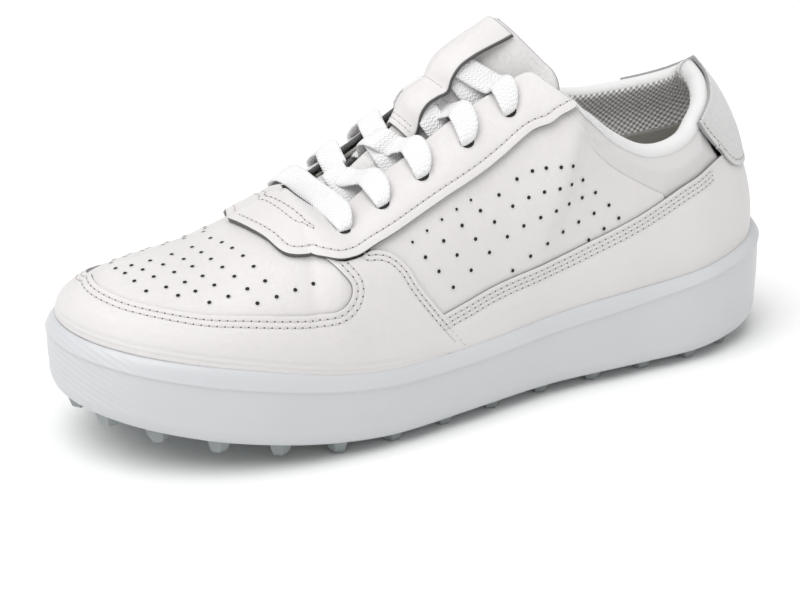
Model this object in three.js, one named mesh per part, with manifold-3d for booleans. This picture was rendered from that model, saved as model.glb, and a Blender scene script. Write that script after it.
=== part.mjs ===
// Left golf shoe: spikeless cupsole, stitched leather upper, padded tongue and one flat lace.
// Millimetres, +X to the toe, +Y to the wearer's left (outer side), +Z up, lugs standing on z = 0.
import * as THREE from 'three';
import { ParametricGeometry } from 'three/addons/geometries/ParametricGeometry.js';
import { mergeGeometries, mergeVertices } from 'three/addons/utils/BufferGeometryUtils.js';
import Module from 'manifold-3d';

const manifold = await Module();
manifold.setup();

// ---------- driving dimensions ----------

const SOLE = {
  // plan outline, heel centre first, anticlockwise seen from below: outer side, toe, inner side
  outline: [
    [-150, 3], [-146, 16.5], [-135, 30], [-110, 41.5], [-70, 43.5], [-30, 43.8], [10, 50], [50, 55],
    [85, 53], [115, 44], [135, 30.5], [146, 15], [150, -4],
    [146, -22], [132, -38.5], [105, -51], [68, -55], [30, -50], [0, -43], [-40, -37.5], [-80, -37],
    [-112, -35], [-136, -25], [-147, -10],
  ],
  toeKnot: 12,
  // x, underside, top of the side wall, rim, top of the footbed
  heights: [
    [-150, 8.8, 42.7, 46.4, 30], [-100, 5.0, 35.4, 38.6, 27], [-50, 4.8, 29.5, 34.3, 24.5],
    [0, 4.9, 25.8, 30.1, 22], [50, 5.3, 26.4, 30.6, 21], [100, 12.2, 34.3, 40.0, 27],
    [150, 23.2, 44.1, 48.9, 36],
  ],
  rimInset: 3.5,
  rimWidth: 3.2,
  wall: 7.5,
  floor: 4.5,
  recess: 2,
  spine: [[0, -100, 3], [0.5, 0, 2.5], [0.8, 72, 0], [1, 95, -3]],
};
const OUTSOLE = { inset: 5, drop: 0.6, thickness: 2.3 };
const LUG = { root: 5.4, tip: 3.6, height: 5.4, embed: 0.4, sides: 6, pitch: 24, edgeInset: 11, rows: [-22, 0, 22] };
const BOARD = { insole: 4, strobel: 1.2, shank: 1.2, gap: 0.3, insoleInset: 11.5, strobelInset: 9 };
const SHANK = { length: 96, width: 22, x: -38, y: 3 };

const UPPER = {
  rimGap: 0.4,
  rimInset: 3.8,
  // u, top edge point on the outer side: heel, collar, eyestay, throat
  outerEdge: [
    [0, -118, 2.5, 114.5], [0.05, -119.5, 10, 108.5], [0.1, -115.5, 18, 102], [0.15, -107, 25, 96.5],
    [0.2, -98, 30.5, 92], [0.25, -86, 34, 90], [0.3, -74, 35.5, 91.5], [0.35, -61, 36, 98],
    [0.4, -49, 36, 107.5], [0.43, -43, 35, 112.5], [0.46, -36.5, 27, 118.5], [0.49, -31, 19, 122],
    [0.52, -20, 16, 116], [0.56, -3, 15, 107.5], [0.6, 18, 15.5, 95.3], [0.63, 34, 16, 86.5],
    [0.655, 47, 16.5, 79.5], [0.67, 53.5, 13.5, 79.5], [0.68, 58, 6, 82.5], [0.69, 59.5, -2, 84.3],
  ],
  innerEdge: [
    [0, -118, 2.5, 114.5], [0.05, -120, -6, 110.5], [0.1, -116, -14, 106], [0.15, -106, -22, 102],
    [0.2, -95, -28, 99.5], [0.25, -85, -31, 98.5], [0.3, -73, -33, 99.5], [0.35, -61, -34, 103],
    [0.4, -49, -34, 110], [0.43, -43, -33, 114], [0.46, -36.5, -26, 119], [0.49, -31, -19, 122.5],
    [0.52, -20, -17, 117], [0.56, -3, -16.5, 109], [0.6, 18, -17, 97], [0.63, 34, -17.5, 88],
    [0.655, 47, -18, 81.5], [0.67, 53.5, -14.5, 81], [0.68, 58, -8.5, 83], [0.69, 59.5, -2, 84.3],
  ],
  // u, ridge from the throat to the toe, where the two sides meet
  ridge: [
    [0.69, 59.5, -2, 84.3], [0.72, 66, -3, 82], [0.76, 76, -3.5, 78], [0.8, 87, -4, 74.3],
    [0.85, 97, -4, 72], [0.9, 107, -4, 70.8], [0.95, 114, -4, 70], [1, 118, -4, 69.5],
  ],
  ridgeStart: 0.69,
  // u, then how far each section leans out and up above the rim, and out and up before the top edge
  outerSwell: [
    [0, 0, 22, 16, -17], [0.1, 0, 20, 8, -20], [0.2, 1, 18, 5, -18], [0.3, 1.5, 18, 4, -16],
    [0.4, 1, 25, 3, -22], [0.5, -1.5, 32, 17, -12], [0.6, -1, 38, 14, -1], [0.7, -1, 32, 28, 0],
    [0.8, 0, 19, 27, 0], [0.9, 1, 12, 22, 0], [1, 1.5, 9, 18, 0],
  ],
  innerSwell: [
    [0, 0, 22, 16, -17], [0.1, 0, 20, 8, -20], [0.2, 1, 18, 5, -18], [0.3, 1.5, 18, 4, -16],
    [0.4, 1, 25, 3, -22], [0.5, -1.5, 32, 17, -12], [0.6, -3, 30, 12, -5], [0.7, -3, 20, 22, -4],
    [0.8, -1.5, 11, 20, -3], [0.9, 0, 8, 18, -1.5], [1, 1.5, 9, 18, 0],
  ],
};

// Depths below the outer surface: overlays lie on the base leather, then stiffeners, then linings.
const LAYER = {
  overlay: [0, 1.2],
  base: [2.0, 3.1],
  backing: [1.9, 2.6],
  stiffener: [3.9, 4.6],
  lining: [5.4, 6.1],
  collarFoam: [3.9, 8.2],
  collarLining: [9.0, 9.8],
};

const TONGUE = {
  // along the tongue: share of its length, x, z of the outer face on the middle line
  line: [
    [0, 66, 74], [0.14, 54, 78.5], [0.26, 42, 84], [0.4, 29, 93], [0.55, 15, 103.5],
    [0.7, 1, 114.2], [0.84, -11, 125.5], [0.94, -22, 134.5], [1, -29, 140],
  ],
  // distance from the middle line, fall of the face
  arch: [[0, 0], [5, 3.2], [12, 12.9], [16, 19.3], [20, 23], [28, 29.5], [36, 35]],
  halfWidth: [[0, 16], [0.3, 21], [0.7, 24], [1, 25]],
  thickness: 4,
  hinge: 0.855,
  hingeGap: 0.012,
  wingGap: 0.22,
  flapGap: 0.07,
};
const STRAP = {
  width: 19,
  thickness: 1.5,
  start: 0.545,
  end: 0.985,
  flatten: 0.09,
  split: 0.79,
  splitGap: 0.03,
  // share of the tongue's length, height over the tongue: it passes over two lace crossings
  lift: [
    [0.54, 0.8], [0.575, 1.2], [0.605, 7.4], [0.66, 7.8], [0.705, 7.4], [0.73, 5], [0.75, 5],
    [0.77, 7.6], [0.815, 7.8], [0.86, 7.4], [0.91, 2], [1, 0.8],
  ],
};

const LACE = {
  width: 8,
  thickness: 1.5,
  over: 2.4,
  high: 4.1,
  under: 4.6,
  tongueGap: 2.8,
  crossingGap: 2.6,
  hole: 3.7,
  // u and v of the eyelets, throat first
  eyelets: [[0.661, 0.757], [0.627, 0.74], [0.594, 0.745], [0.557, 0.78], [0.516, 0.84]],
};
const AGLET = { length: 20, radius: 1.3 };

const COLOUR = {
  leather: 0xece7e5, sole: 0xe2e5e8, outsole: 0xa9afae, suede: 0xc9cac9, mesh: 0xe9e9e7, foam: 0xd9d4bf,
  board: 0xb9a98d, insole: 0xcfcac2, lace: 0xf3f3f1, steel: 0x9aa0a6, liner: 0xbdbab3, clear: 0xdfe4e6,
};

// ---------- curves ----------

// Smooth curve through rows of [t, a, b, ...]; returns a function of t giving [a, b, ...].
function spline(rows, closed = false) {
  const last = rows.length - 1;
  const gap = (i) => rows[i + 1][0] - rows[i][0];
  const slope = (i, k) => (rows[i + 1][k] - rows[i][k]) / gap(i);
  const blend = (i, j, k) => (slope(i, k) * gap(j) + slope(j, k) * gap(i)) / (gap(i) + gap(j));
  const tangents = rows.map((row, i) => row.map((_, k) => {
    if (k === 0) return 0;
    if (i > 0 && i < last) return blend(i - 1, i, k);
    if (closed) return blend(last - 1, 0, k);
    if (last === 1) return slope(0, k);
    return i === 0 ? 1.5 * slope(0, k) - 0.5 * blend(0, 1, k)
      : 1.5 * slope(last - 1, k) - 0.5 * blend(last - 2, last - 1, k);
  }));
  return (value) => {
    const t = Math.min(Math.max(value, rows[0][0]), rows[last][0]);
    let i = 0;
    while (i < last - 1 && t > rows[i + 1][0]) i += 1;
    const h = gap(i);
    const s = (t - rows[i][0]) / h;
    const a = 2 * s ** 3 - 3 * s ** 2 + 1;
    const b = s ** 3 - 2 * s ** 2 + s;
    const c = s ** 3 - s ** 2;
    return rows[i].slice(1).map((start, n) => a * start + b * h * tangents[i][n + 1]
      + (1 - a) * rows[i + 1][n + 1] + c * h * tangents[i + 1][n + 1]);
  };
}

// Plan outline by u: 0 at the heel, +1 round the outer side to the toe, -1 round the inner side.
function makeOutline() {
  const samples = 1800;
  const loop = [...SOLE.outline, SOLE.outline[0]];
  let run = 0;
  const rows = loop.map((point, i) => {
    if (i > 0) run += Math.hypot(point[0] - loop[i - 1][0], point[1] - loop[i - 1][1]);
    return [run, ...point];
  });
  const curve = spline(rows, true);
  const table = [];
  let length = 0;
  let before = null;
  for (let i = 0; i <= samples; i += 1) {
    const t = (run * i) / samples;
    const [x, y] = curve(t);
    if (before) length += Math.hypot(x - before[0], y - before[1]);
    table.push([length, x, y, t]);
    before = [x, y];
  }
  const toeRun = rows[SOLE.toeKnot][0];
  const toeLength = table.find((row) => row[3] >= toeRun)[0];
  const at = (distance) => {
    const d = ((distance % length) + length) % length;
    let low = 0;
    let high = samples;
    while (high - low > 1) {
      const middle = (low + high) >> 1;
      if (table[middle][0] <= d) low = middle;
      else high = middle;
    }
    const share = (d - table[low][0]) / (table[high][0] - table[low][0]);
    return [1, 2].map((k) => table[low][k] + share * (table[high][k] - table[low][k]));
  };
  return (u, inset = 0) => {
    const s = u >= 0 ? u * toeLength : length + u * (length - toeLength);
    const [x, y] = at(s);
    const [xa, ya] = at(s - 1.5);
    const [xb, yb] = at(s + 1.5);
    const size = Math.hypot(xb - xa, yb - ya);
    const nx = -(yb - ya) / size;
    const ny = (xb - xa) / size;
    return { x: x - nx * inset, y: y - ny * inset, nx, ny };
  };
}

const outline = makeOutline();
const heights = spline(SOLE.heights);
const underside = (x) => heights(x)[0];
const wallTop = (x) => heights(x)[1];
const rimHeight = (x) => heights(x)[2];
const footbed = (x) => heights(x)[3];
const soleSpine = spline(SOLE.spine);

// ---------- solids from surfaces ----------

function weld(geometry) {
  const plain = geometry.clone();
  plain.deleteAttribute('normal');
  plain.deleteAttribute('uv');
  return mergeVertices(plain, 1e-3);
}

// Triangles of a welded geometry, without those that have closed to a line.
function triangles(geometry) {
  const index = geometry.index.array;
  const faces = [];
  for (let i = 0; i < index.length; i += 3) {
    const [a, b, c] = [index[i], index[i + 1], index[i + 2]];
    if (a !== b && b !== c && a !== c) faces.push([a, b, c]);
  }
  return faces;
}

function geometryFrom(points, faces) {
  const geometry = new THREE.BufferGeometry();
  geometry.setAttribute('position', new THREE.Float32BufferAttribute(points.flatMap((p) => [p.x, p.y, p.z]), 3));
  geometry.setIndex(faces.flat());
  return geometry;
}

function closedBody(geometry) {
  const solid = weld(geometry);
  const position = solid.attributes.position;
  const points = [];
  for (let i = 0; i < position.count; i += 1) points.push(new THREE.Vector3().fromBufferAttribute(position, i));
  let faces = triangles(solid);
  let volume = 0;
  for (const [a, b, c] of faces) volume += points[a].dot(points[b].clone().cross(points[c]));
  if (volume < 0) faces = faces.map(([a, b, c]) => [a, c, b]);
  return geometryFrom(points, faces);
}

// One closed slab between outer and inner sheets that share their grids, walled round the rim.
// Grid points that meet on the outer face are joined, and their inner partners with them.
function slab(outerSheets, innerSheets) {
  const outer = mergeGeometries(outerSheets);
  const inner = mergeGeometries(innerSheets);
  const joined = new Map();
  const outerPoints = [];
  const innerPoints = [];
  const shares = [];
  const id = [];
  for (let i = 0; i < outer.attributes.position.count; i += 1) {
    const p = new THREE.Vector3().fromBufferAttribute(outer.attributes.position, i);
    const q = new THREE.Vector3().fromBufferAttribute(inner.attributes.position, i);
    const key = p.toArray().map((value) => Math.round(value * 100)).join();
    if (!joined.has(key)) {
      joined.set(key, outerPoints.length);
      outerPoints.push(p);
      innerPoints.push(new THREE.Vector3());
      shares.push(0);
    }
    const k = joined.get(key);
    innerPoints[k].add(q);
    shares[k] += 1;
    id.push(k);
  }
  innerPoints.forEach((point, k) => point.divideScalar(shares[k]));
  const index = outer.index.array;
  const top = [];
  for (let i = 0; i < index.length; i += 3) {
    const [a, b, c] = [id[index[i]], id[index[i + 1]], id[index[i + 2]]];
    if (a !== b && b !== c && a !== c) top.push([a, b, c]);
  }
  const shift = outerPoints.length;
  const edges = new Map();
  top.forEach(([a, b, c]) => [[a, b], [b, c], [c, a]].forEach(([p, q]) => {
    if (edges.has(`${q}_${p}`)) edges.delete(`${q}_${p}`);
    else edges.set(`${p}_${q}`, [p, q]);
  }));
  const bottom = top.map(([a, b, c]) => [a + shift, c + shift, b + shift]);
  const walls = [...edges.values()].flatMap(([p, q]) => [[q, p, p + shift], [q, p + shift, q + shift]]);
  return closedBody(geometryFrom([...outerPoints, ...innerPoints], [...top, ...bottom, ...walls]));
}

// A body that runs right round the sole: profile(u) lists [inset, z] or [null, z] on the middle line.
function ringBody(profile, around = 44) {
  const rows = profile(0).length - 1;
  const surface = (a, t, target) => {
    const u = a * 2 - 1;
    const share = t * rows;
    const k = Math.round(share);
    const [inset, zAt] = profile(u)[k];
    if (inset === null) {
      const [x, y] = soleSpine(Math.abs(u));
      target.set(x, y, zAt(x));
    } else {
      const p = outline(u, inset);
      target.set(p.x, p.y, zAt(p.x));
    }
  };
  return closedBody(new ParametricGeometry(surface, around, rows));
}

// ---------- the upper's outer surface ----------

const outerEdge = spline(UPPER.outerEdge);
const innerEdge = spline(UPPER.innerEdge);
const ridge = spline(UPPER.ridge);
const outerSwell = spline(UPPER.outerSwell);
const innerSwell = spline(UPPER.innerSwell);

function surfacePoint(u, v) {
  const a = Math.abs(u);
  const base = outline(u, UPPER.rimInset);
  const start = new THREE.Vector3(base.x, base.y, rimHeight(base.x) + UPPER.rimGap);
  const onRidge = a >= UPPER.ridgeStart;
  const edge = u >= 0 ? outerEdge : innerEdge;
  const top = new THREE.Vector3(...(onRidge ? ridge(a) : edge(a)));
  const [leanOut, leanUp, tuckOut, tuckUp] = (u >= 0 ? outerSwell : innerSwell)(a);
  let fall = 0;
  if (onRidge) {
    const ahead = ridge(Math.min(a + 0.004, 1));
    const behind = ridge(Math.max(a - 0.004, UPPER.ridgeStart));
    fall = (ahead[2] - behind[2]) / (ahead[0] - behind[0]);
  }
  const low = new THREE.Vector3(base.nx * leanOut, base.ny * leanOut, leanUp).add(start);
  const high = new THREE.Vector3(base.nx * tuckOut, base.ny * tuckOut, tuckUp + fall * base.nx * tuckOut).add(top);
  return new THREE.CubicBezierCurve3(start, low, high, top).getPoint(v);
}

function surfaceNormal(u, v) {
  const step = 0.004;
  const side = u < 0 ? -1 : 1;
  const a = Math.min(Math.abs(u), 1 - step);
  const va = Math.max(v - step, 0);
  const vb = Math.min(v + step, 1);
  const along = surfacePoint(side * (a + step), v).sub(surfacePoint(side * Math.max(a - step, 0), v));
  const up = surfacePoint(side * a, vb).sub(surfacePoint(side * a, va));
  const normal = side > 0 ? up.cross(along) : along.cross(up);
  if (Math.abs(u) > 1 - step || Math.abs(u) < step) normal.y = 0;
  return normal.normalize();
}

function below(u, v, depth) {
  return surfacePoint(u, v).addScaledVector(surfaceNormal(u, v), -depth);
}

// A panel of the upper between a lower and an upper edge, each a list of [u, v] along the panel.
function panel(low, high, depths, options = {}) {
  const { sides = [1, -1], along = 20, across = 6 } = options;
  const lowEdge = spline(low.map((knot, i) => [i / (low.length - 1), ...knot]));
  const highEdge = spline(high.map((knot, i) => [i / (high.length - 1), ...knot]));
  const sheet = (side, depth) => new ParametricGeometry((s, t, target) => {
    const [ua, va] = lowEdge(s);
    const [ub, vb] = highEdge(s);
    const u = Math.min(Math.max(ua + (ub - ua) * t, 0), 1);
    const v = Math.min(va + (vb - va) * t, 1);
    target.copy(below(side * u, v, depth));
    const near = 1e-4;
    const onSeam = u < near || u > 1 - near || (v > 1 - near && u >= UPPER.ridgeStart);
    if (onSeam) target.add(below(-side * u, v, depth)).multiplyScalar(0.5);
  }, along, across);
  const faced = (side, depth) => {
    const geometry = sheet(side, depth);
    if (side < 0) geometry.setIndex(Array.from(geometry.index.array).reverse());
    return geometry;
  };
  return slab(sides.map((side) => faced(side, depths[0])), sides.map((side) => faced(side, depths[1])));
}

// ---------- booleans ----------

function toSolid(geometry) {
  const body = weld(geometry);
  return new manifold.Manifold(new manifold.Mesh({
    numProp: 3,
    vertProperties: new Float32Array(body.attributes.position.array),
    triVerts: new Uint32Array(body.index.array),
  }));
}

function fromSolid(solid) {
  const mesh = solid.getMesh();
  const geometry = new THREE.BufferGeometry();
  geometry.setAttribute('position', new THREE.Float32BufferAttribute(mesh.vertProperties, 3));
  geometry.setIndex(Array.from(mesh.triVerts));
  return geometry;
}

// ---------- sole ----------

function cupsole() {
  const step = (base, extra) => (x) => base(x) + extra;
  return ringBody(() => [
    [null, step(underside, SOLE.recess)],
    [OUTSOLE.inset - 0.4, step(underside, SOLE.recess)],
    [OUTSOLE.inset - 0.5, underside],
    [2.6, underside],
    [0.6, step(underside, 2.2)],
    [0, step(underside, 7)],
    [0, wallTop],
    [SOLE.rimInset, rimHeight],
    [SOLE.rimInset + SOLE.rimWidth, rimHeight],
    [SOLE.wall, step(rimHeight, -3)],
    [SOLE.wall, step(underside, SOLE.floor)],
    [null, step(underside, SOLE.floor)],
  ]);
}

// Faces that lie on each other take the same place in the list, so that their triangles match.
function plate(inset, first, last) {
  return ringBody(() => [[null, first], [inset, first], [inset, last], [null, last]]);
}

function lugAt(x, y) {
  const bottom = Math.max(underside(x) - LUG.height, 0);
  const lug = new THREE.CylinderGeometry(LUG.root, LUG.tip, 1, LUG.sides);
  lug.rotateX(Math.PI / 2);
  lug.rotateZ(x * 0.7);
  lug.translate(x, y, 0);
  const position = lug.attributes.position;
  for (let i = 0; i < position.count; i += 1) {
    const isRoot = position.getZ(i) > 0;
    position.setZ(i, isRoot ? underside(position.getX(i)) + LUG.embed : bottom);
  }
  return lug;
}

function lugPlaces() {
  const places = [];
  const edgeCount = Math.round(720 / LUG.pitch);
  for (let i = 0; i < edgeCount; i += 1) {
    const p = outline(-1 + (2 * i) / edgeCount, LUG.edgeInset);
    places.push([p.x, p.y]);
  }
  const free = (x, y) => places.every(([px, py]) => Math.hypot(px - x, py - y) > 16);
  for (let x = -126; x <= 126; x += 21) {
    LUG.rows.forEach((row, k) => {
      const place = [x + (k % 2) * 10, row + 1];
      const half = Math.abs(place[0]) > 112 ? 14 : 30;
      if (Math.abs(place[1]) < half && free(...place)) places.push(place);
    });
  }
  return places;
}

function outsole() {
  const bottom = (x) => underside(x) - OUTSOLE.drop;
  const top = (x) => underside(x) - OUTSOLE.drop + OUTSOLE.thickness;
  let solid = toSolid(plate(OUTSOLE.inset, top, bottom));
  for (const [x, y] of lugPlaces()) solid = solid.add(toSolid(lugAt(x, y)));
  return fromSolid(solid);
}

const insoleBase = (x) => footbed(x) - BOARD.insole;
const strobelTop = (x) => insoleBase(x) - BOARD.gap;
const strobelBase = (x) => strobelTop(x) - BOARD.strobel;
const foamTop = (x) => strobelBase(x) - BOARD.shank - 2 * BOARD.gap;
const foamBase = (x) => underside(x) + SOLE.floor + BOARD.gap;

function shank() {
  const shape = new THREE.Shape();
  shape.absellipse(0, 0, SHANK.length / 2, SHANK.width / 2, 0, Math.PI * 2);
  const body = new THREE.ExtrudeGeometry(shape, { depth: BOARD.shank, bevelEnabled: false, curveSegments: 16 });
  body.translate(SHANK.x, SHANK.y, 0);
  const position = body.attributes.position;
  for (let i = 0; i < position.count; i += 1) {
    position.setZ(i, position.getZ(i) + foamTop(position.getX(i)) + BOARD.gap);
  }
  return closedBody(body);
}

// ---------- panels of the upper, as lists of [u, v] ----------

const GUARD_EDGE = [
  [0.676, 0.505], [0.669, 0.455], [0.658, 0.363], [0.657, 0.29], [0.689, 0.236], [0.731, 0.256],
  [0.784, 0.314], [0.838, 0.381], [0.885, 0.433], [0.925, 0.525], [1, 0.667],
];
const GUARD_BASE = [
  [0.628, 0.465], [0.603, 0.35], [0.574, 0.22], [0.512, 0.004], [0.6, 0], [0.66, 0],
  [0.72, 0], [0.79, 0], [0.86, 0], [0.93, 0], [1, 0],
];
const VAMP_LOW = [
  [0.66, 0.5], [0.648, 0.363], [0.65, 0.25], [0.689, 0.19], [0.731, 0.21],
  [0.784, 0.26], [0.838, 0.32], [0.885, 0.38], [0.925, 0.46], [1, 0.6],
];
const VAMP_HIGH = [
  [0.676, 0.6], [0.695, 0.64], [0.71, 0.7], [0.722, 0.8], [0.735, 0.9], [0.75, 1],
  [0.81, 1], [0.88, 1], [0.94, 1], [1, 1],
];
const EYESTAY_LOW = [
  [0.446, 0.93], [0.473, 0.765], [0.515, 0.66], [0.556, 0.585], [0.611, 0.53], [0.647, 0.535],
  [0.687, 0.52], [0.72, 0.575], [0.741, 0.73], [0.768, 0.96],
];
const EYESTAY_HIGH = [
  [0.45, 1], [0.48, 1], [0.52, 1], [0.56, 1], [0.6, 1], [0.63, 1], [0.655, 1], [0.675, 1], [0.69, 1], [0.77, 1],
];
const PANEL_LOW = [[0.535, 0.11], [0.46, 0.2], [0.4, 0.27], [0.34, 0.37], [0.3, 0.48], [0.25, 0.58]];
const PANEL_HIGH = [[0.62, 0.55], [0.556, 0.63], [0.48, 0.775], [0.379, 0.775], [0.31, 0.7], [0.268, 0.61]];
const COLLAR_LOW = [[0.446, 0.9], [0.442, 0.84], [0.379, 0.81], [0.31, 0.735], [0.262, 0.64], [0.2, 0.62], [0.118, 0.62]];
const COLLAR_HIGH = [[0.442, 1], [0.42, 1], [0.38, 1], [0.33, 1], [0.27, 1], [0.21, 1], [0.145, 1]];
const FOXING_LOW = [[0, 0], [0.08, 0], [0.14, 0], [0.21, 0], [0.27, 0], [0.35, 0], [0.43, 0], [0.504, 0]];
const FOXING_HIGH = [
  [0, 0.36], [0.055, 0.42], [0.105, 0.56], [0.2, 0.67], [0.259, 0.605], [0.351, 0.39], [0.421, 0.262], [0.528, 0.13],
];
const TAB_LOW = [[0, 0.385], [0.055, 0.445], [0.1, 0.57], [0.12, 0.69]];
const TAB_HIGH = [[0, 1], [0.055, 1], [0.11, 1], [0.164, 1]];
const PUFF_LOW = [[0.8, 0.03], [0.85, 0.03], [0.9, 0.03], [0.95, 0.03], [1, 0.03]];
const PUFF_HIGH = [[0.84, 1], [0.88, 1], [0.92, 1], [0.96, 1], [1, 1]];
const COUNTER_LOW = [[0, 0.02], [0.1, 0.02], [0.2, 0.02], [0.28, 0.02]];
const COUNTER_HIGH = [[0, 0.6], [0.1, 0.6], [0.2, 0.58], [0.27, 0.4]];
const FOAM_LOW = [[0, 0.66], [0.1, 0.66], [0.2, 0.66], [0.3, 0.72], [0.4, 0.83]];
const FOAM_HIGH = [[0, 0.985], [0.1, 0.985], [0.2, 0.985], [0.3, 0.985], [0.4, 0.985]];
const QUARTER_LOW = [[0, 0.02], [0.1, 0.02], [0.2, 0.02], [0.3, 0.02], [0.4, 0.02], [0.5, 0.02], [0.6, 0.02]];
const QUARTER_HIGH = [[0, 0.62], [0.1, 0.62], [0.2, 0.62], [0.3, 0.68], [0.4, 0.74], [0.5, 0.64], [0.6, 0.6]];
const TOE_LINING_LOW = [[0.61, 0.02], [0.7, 0.02], [0.8, 0.02], [0.9, 0.02], [1, 0.02]];
const TOE_LINING_HIGH = [[0.61, 0.58], [0.7, 0.62], [0.8, 1], [0.9, 1], [1, 1]];
const BACKING_LOW = [[0.535, 0.69], [0.56, 0.65], [0.59, 0.63], [0.62, 0.62], [0.643, 0.63]];
const BACKING_HIGH = [[0.538, 0.975], [0.56, 0.975], [0.58, 0.975], [0.62, 0.975], [0.641, 0.975]];

// ---------- tongue and strap ----------

const tongueLine = spline(TONGUE.line);
const tongueArch = spline(TONGUE.arch);
const tongueHalf = spline(TONGUE.halfWidth);

// Point on the tongue at share s of its length and distance y from the middle, lifted off its face.
function tonguePoint(s, y, lift) {
  const ahead = tongueLine(Math.min(s + 0.01, 1));
  const behind = tongueLine(Math.max(s - 0.01, 0));
  const size = Math.hypot(ahead[0] - behind[0], ahead[1] - behind[1]);
  const normal = [(ahead[1] - behind[1]) / size, (behind[0] - ahead[0]) / size];
  const [x, z] = tongueLine(s);
  const slope = (tongueArch(Math.abs(y) + 0.5)[0] - tongueArch(Math.abs(y))[0]) * 2;
  const tilt = Math.hypot(1, slope);
  const fall = tongueArch(Math.abs(y))[0] - lift / tilt;
  const out = Math.sign(y) * lift * slope / tilt;
  return new THREE.Vector3(x - normal[0] * fall, y + out - 1, z - normal[1] * fall);
}

function tonguePiece(start, end, wingStart, wingEnd) {
  const sheet = (lift) => new ParametricGeometry((a, b, target) => {
    const side = b * 2 - 1;
    const from = start + wingStart * side * side;
    const to = end + wingEnd * side * side;
    const s = from + (to - from) * a;
    target.copy(tonguePoint(s, side * tongueHalf(s)[0], lift));
  }, 7, 10);
  return slab([sheet(0)], [sheet(-TONGUE.thickness)]);
}

const strapLift = spline(STRAP.lift);

function strapPiece(start, end) {
  const sheet = (extra) => new ParametricGeometry((a, b, target) => {
    const s = start + (end - start) * a;
    const outward = tonguePoint(s, 0, 1).sub(tonguePoint(s, 0, 0));
    const y = (b - 0.5) * STRAP.width;
    const [lift] = strapLift(s);
    const fall = tongueArch(Math.abs(y))[0] * (1 - lift * STRAP.flatten);
    target.copy(tonguePoint(s, 0, 0)).addScaledVector(outward, lift + extra - fall);
    target.y += y;
  }, 8, 4);
  return slab([sheet(STRAP.thickness)], [sheet(0)]);
}

// ---------- lace ----------

const side = (k) => (k % 2 === 0 ? 1 : -1);

// Share of the tongue's length that lies under a point.
function tongueShare(point) {
  let best = [Infinity, 0];
  for (let s = 0.02; s < 0.99; s += 0.005) {
    const here = tongueLine(s);
    const ahead = tongueLine(s + 0.01);
    const miss = Math.abs((point.x - here[0]) * (ahead[0] - here[0]) + (point.z - here[1]) * (ahead[1] - here[1]));
    if (miss < best[0]) best = [miss, s];
  }
  return best[1];
}

// Stops of the lace over the gap between the facings, clear of the tongue by at least the lift.
function overTongue(from, to, lift) {
  return [0.15, 0.32, 0.5, 0.68, 0.85].map((share) => {
    const straight = from.clone().lerp(to, share);
    const s = tongueShare(straight);
    const lifted = tonguePoint(s, straight.y + 1, lift);
    const outward = tonguePoint(s, 0, 1).sub(tonguePoint(s, 0, 0));
    const higher = straight.clone().sub(lifted).dot(outward) > 0 ? straight : lifted;
    return [higher, 1];
  });
}

// Route of one half of the lace from the middle of the first bar, as [point, share of its width].
function laceHalf(first, lift) {
  const stops = [];
  const eye = (k, s, depth) => below(s * LACE.eyelets[k][0], LACE.eyelets[k][1], depth);
  const between = (k, s, v, depth) => below(s * (LACE.eyelets[k][0] + LACE.eyelets[k + 1][0]) / 2, v, depth);
  const landing = (k, s) => below(s * LACE.eyelets[k][0], LACE.eyelets[k][1] + 0.09, -LACE.high);
  const lip = (k, s) => below(s * LACE.eyelets[k][0], 0.99, -LACE.high);
  stops.push(overTongue(lip(0, 1), lip(0, -1), LACE.tongueGap)[2]);
  for (let k = 0; k < LACE.eyelets.length; k += 1) {
    const s = first * side(k);
    stops.push([lip(k, s), 1]);
    stops.push([landing(k, s), 0.8]);
    stops.push([eye(k, s, -LACE.over), 0.42]);
    stops.push([eye(k, s, 0.6), 0.34]);
    stops.push([eye(k, s, LACE.under), 0.36]);
    if (k === LACE.eyelets.length - 1) break;
    stops.push([between(k, s, 0.88, LACE.under), 0.7]);
    const edge = between(k, s, 1, LACE.under - 0.55);
    stops.push([edge, 0.85]);
    stops.push(...overTongue(edge, lip(k + 1, -s), lift));
  }
  const [u] = LACE.eyelets[LACE.eyelets.length - 1];
  const s = first * side(LACE.eyelets.length - 1);
  stops.push([below(s * (u - 0.01), 0.75, LACE.under + 1), 0.6]);
  stops.push([below(s * (u - 0.02), 0.68, LACE.under + 3), 0.35]);
  return stops;
}

function ribbonFrame(curve, widths, t) {
  const tangent = curve.getTangent(t);
  const throat = new THREE.Vector3(-0.86, 0, 0.52);
  const across = throat.addScaledVector(tangent, -throat.dot(tangent)).normalize();
  const face = tangent.clone().cross(across).normalize();
  return { centre: curve.getPoint(t), across, face, width: widths(t)[0] * LACE.width };
}

function lace() {
  const left = laceHalf(1, LACE.tongueGap + LACE.crossingGap);
  const right = laceHalf(-1, LACE.tongueGap);
  const stops = [...left.reverse(), ...right.slice(1)];
  const curve = new THREE.CatmullRomCurve3(stops.map((stop) => stop[0]), false, 'centripetal');
  const widths = spline(stops.map((stop, i) => [i / (stops.length - 1), Math.min(stop[1], 1)]));
  const steps = (stops.length - 1) * 2;
  const sheet = (lift) => new ParametricGeometry((a, b, target) => {
    const { centre, across, face, width } = ribbonFrame(curve, widths, a);
    const thick = LACE.thickness * (1 + 0.5 * (1 - width / LACE.width));
    target.copy(centre).addScaledVector(across, (b - 0.5) * width);
    target.addScaledVector(face, lift * thick * 0.5);
  }, steps, 1);
  return { body: slab([sheet(1)], [sheet(-1)]), ends: [0, 1].map((t) => [curve.getPoint(t), curve.getTangent(t)]) };
}

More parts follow.
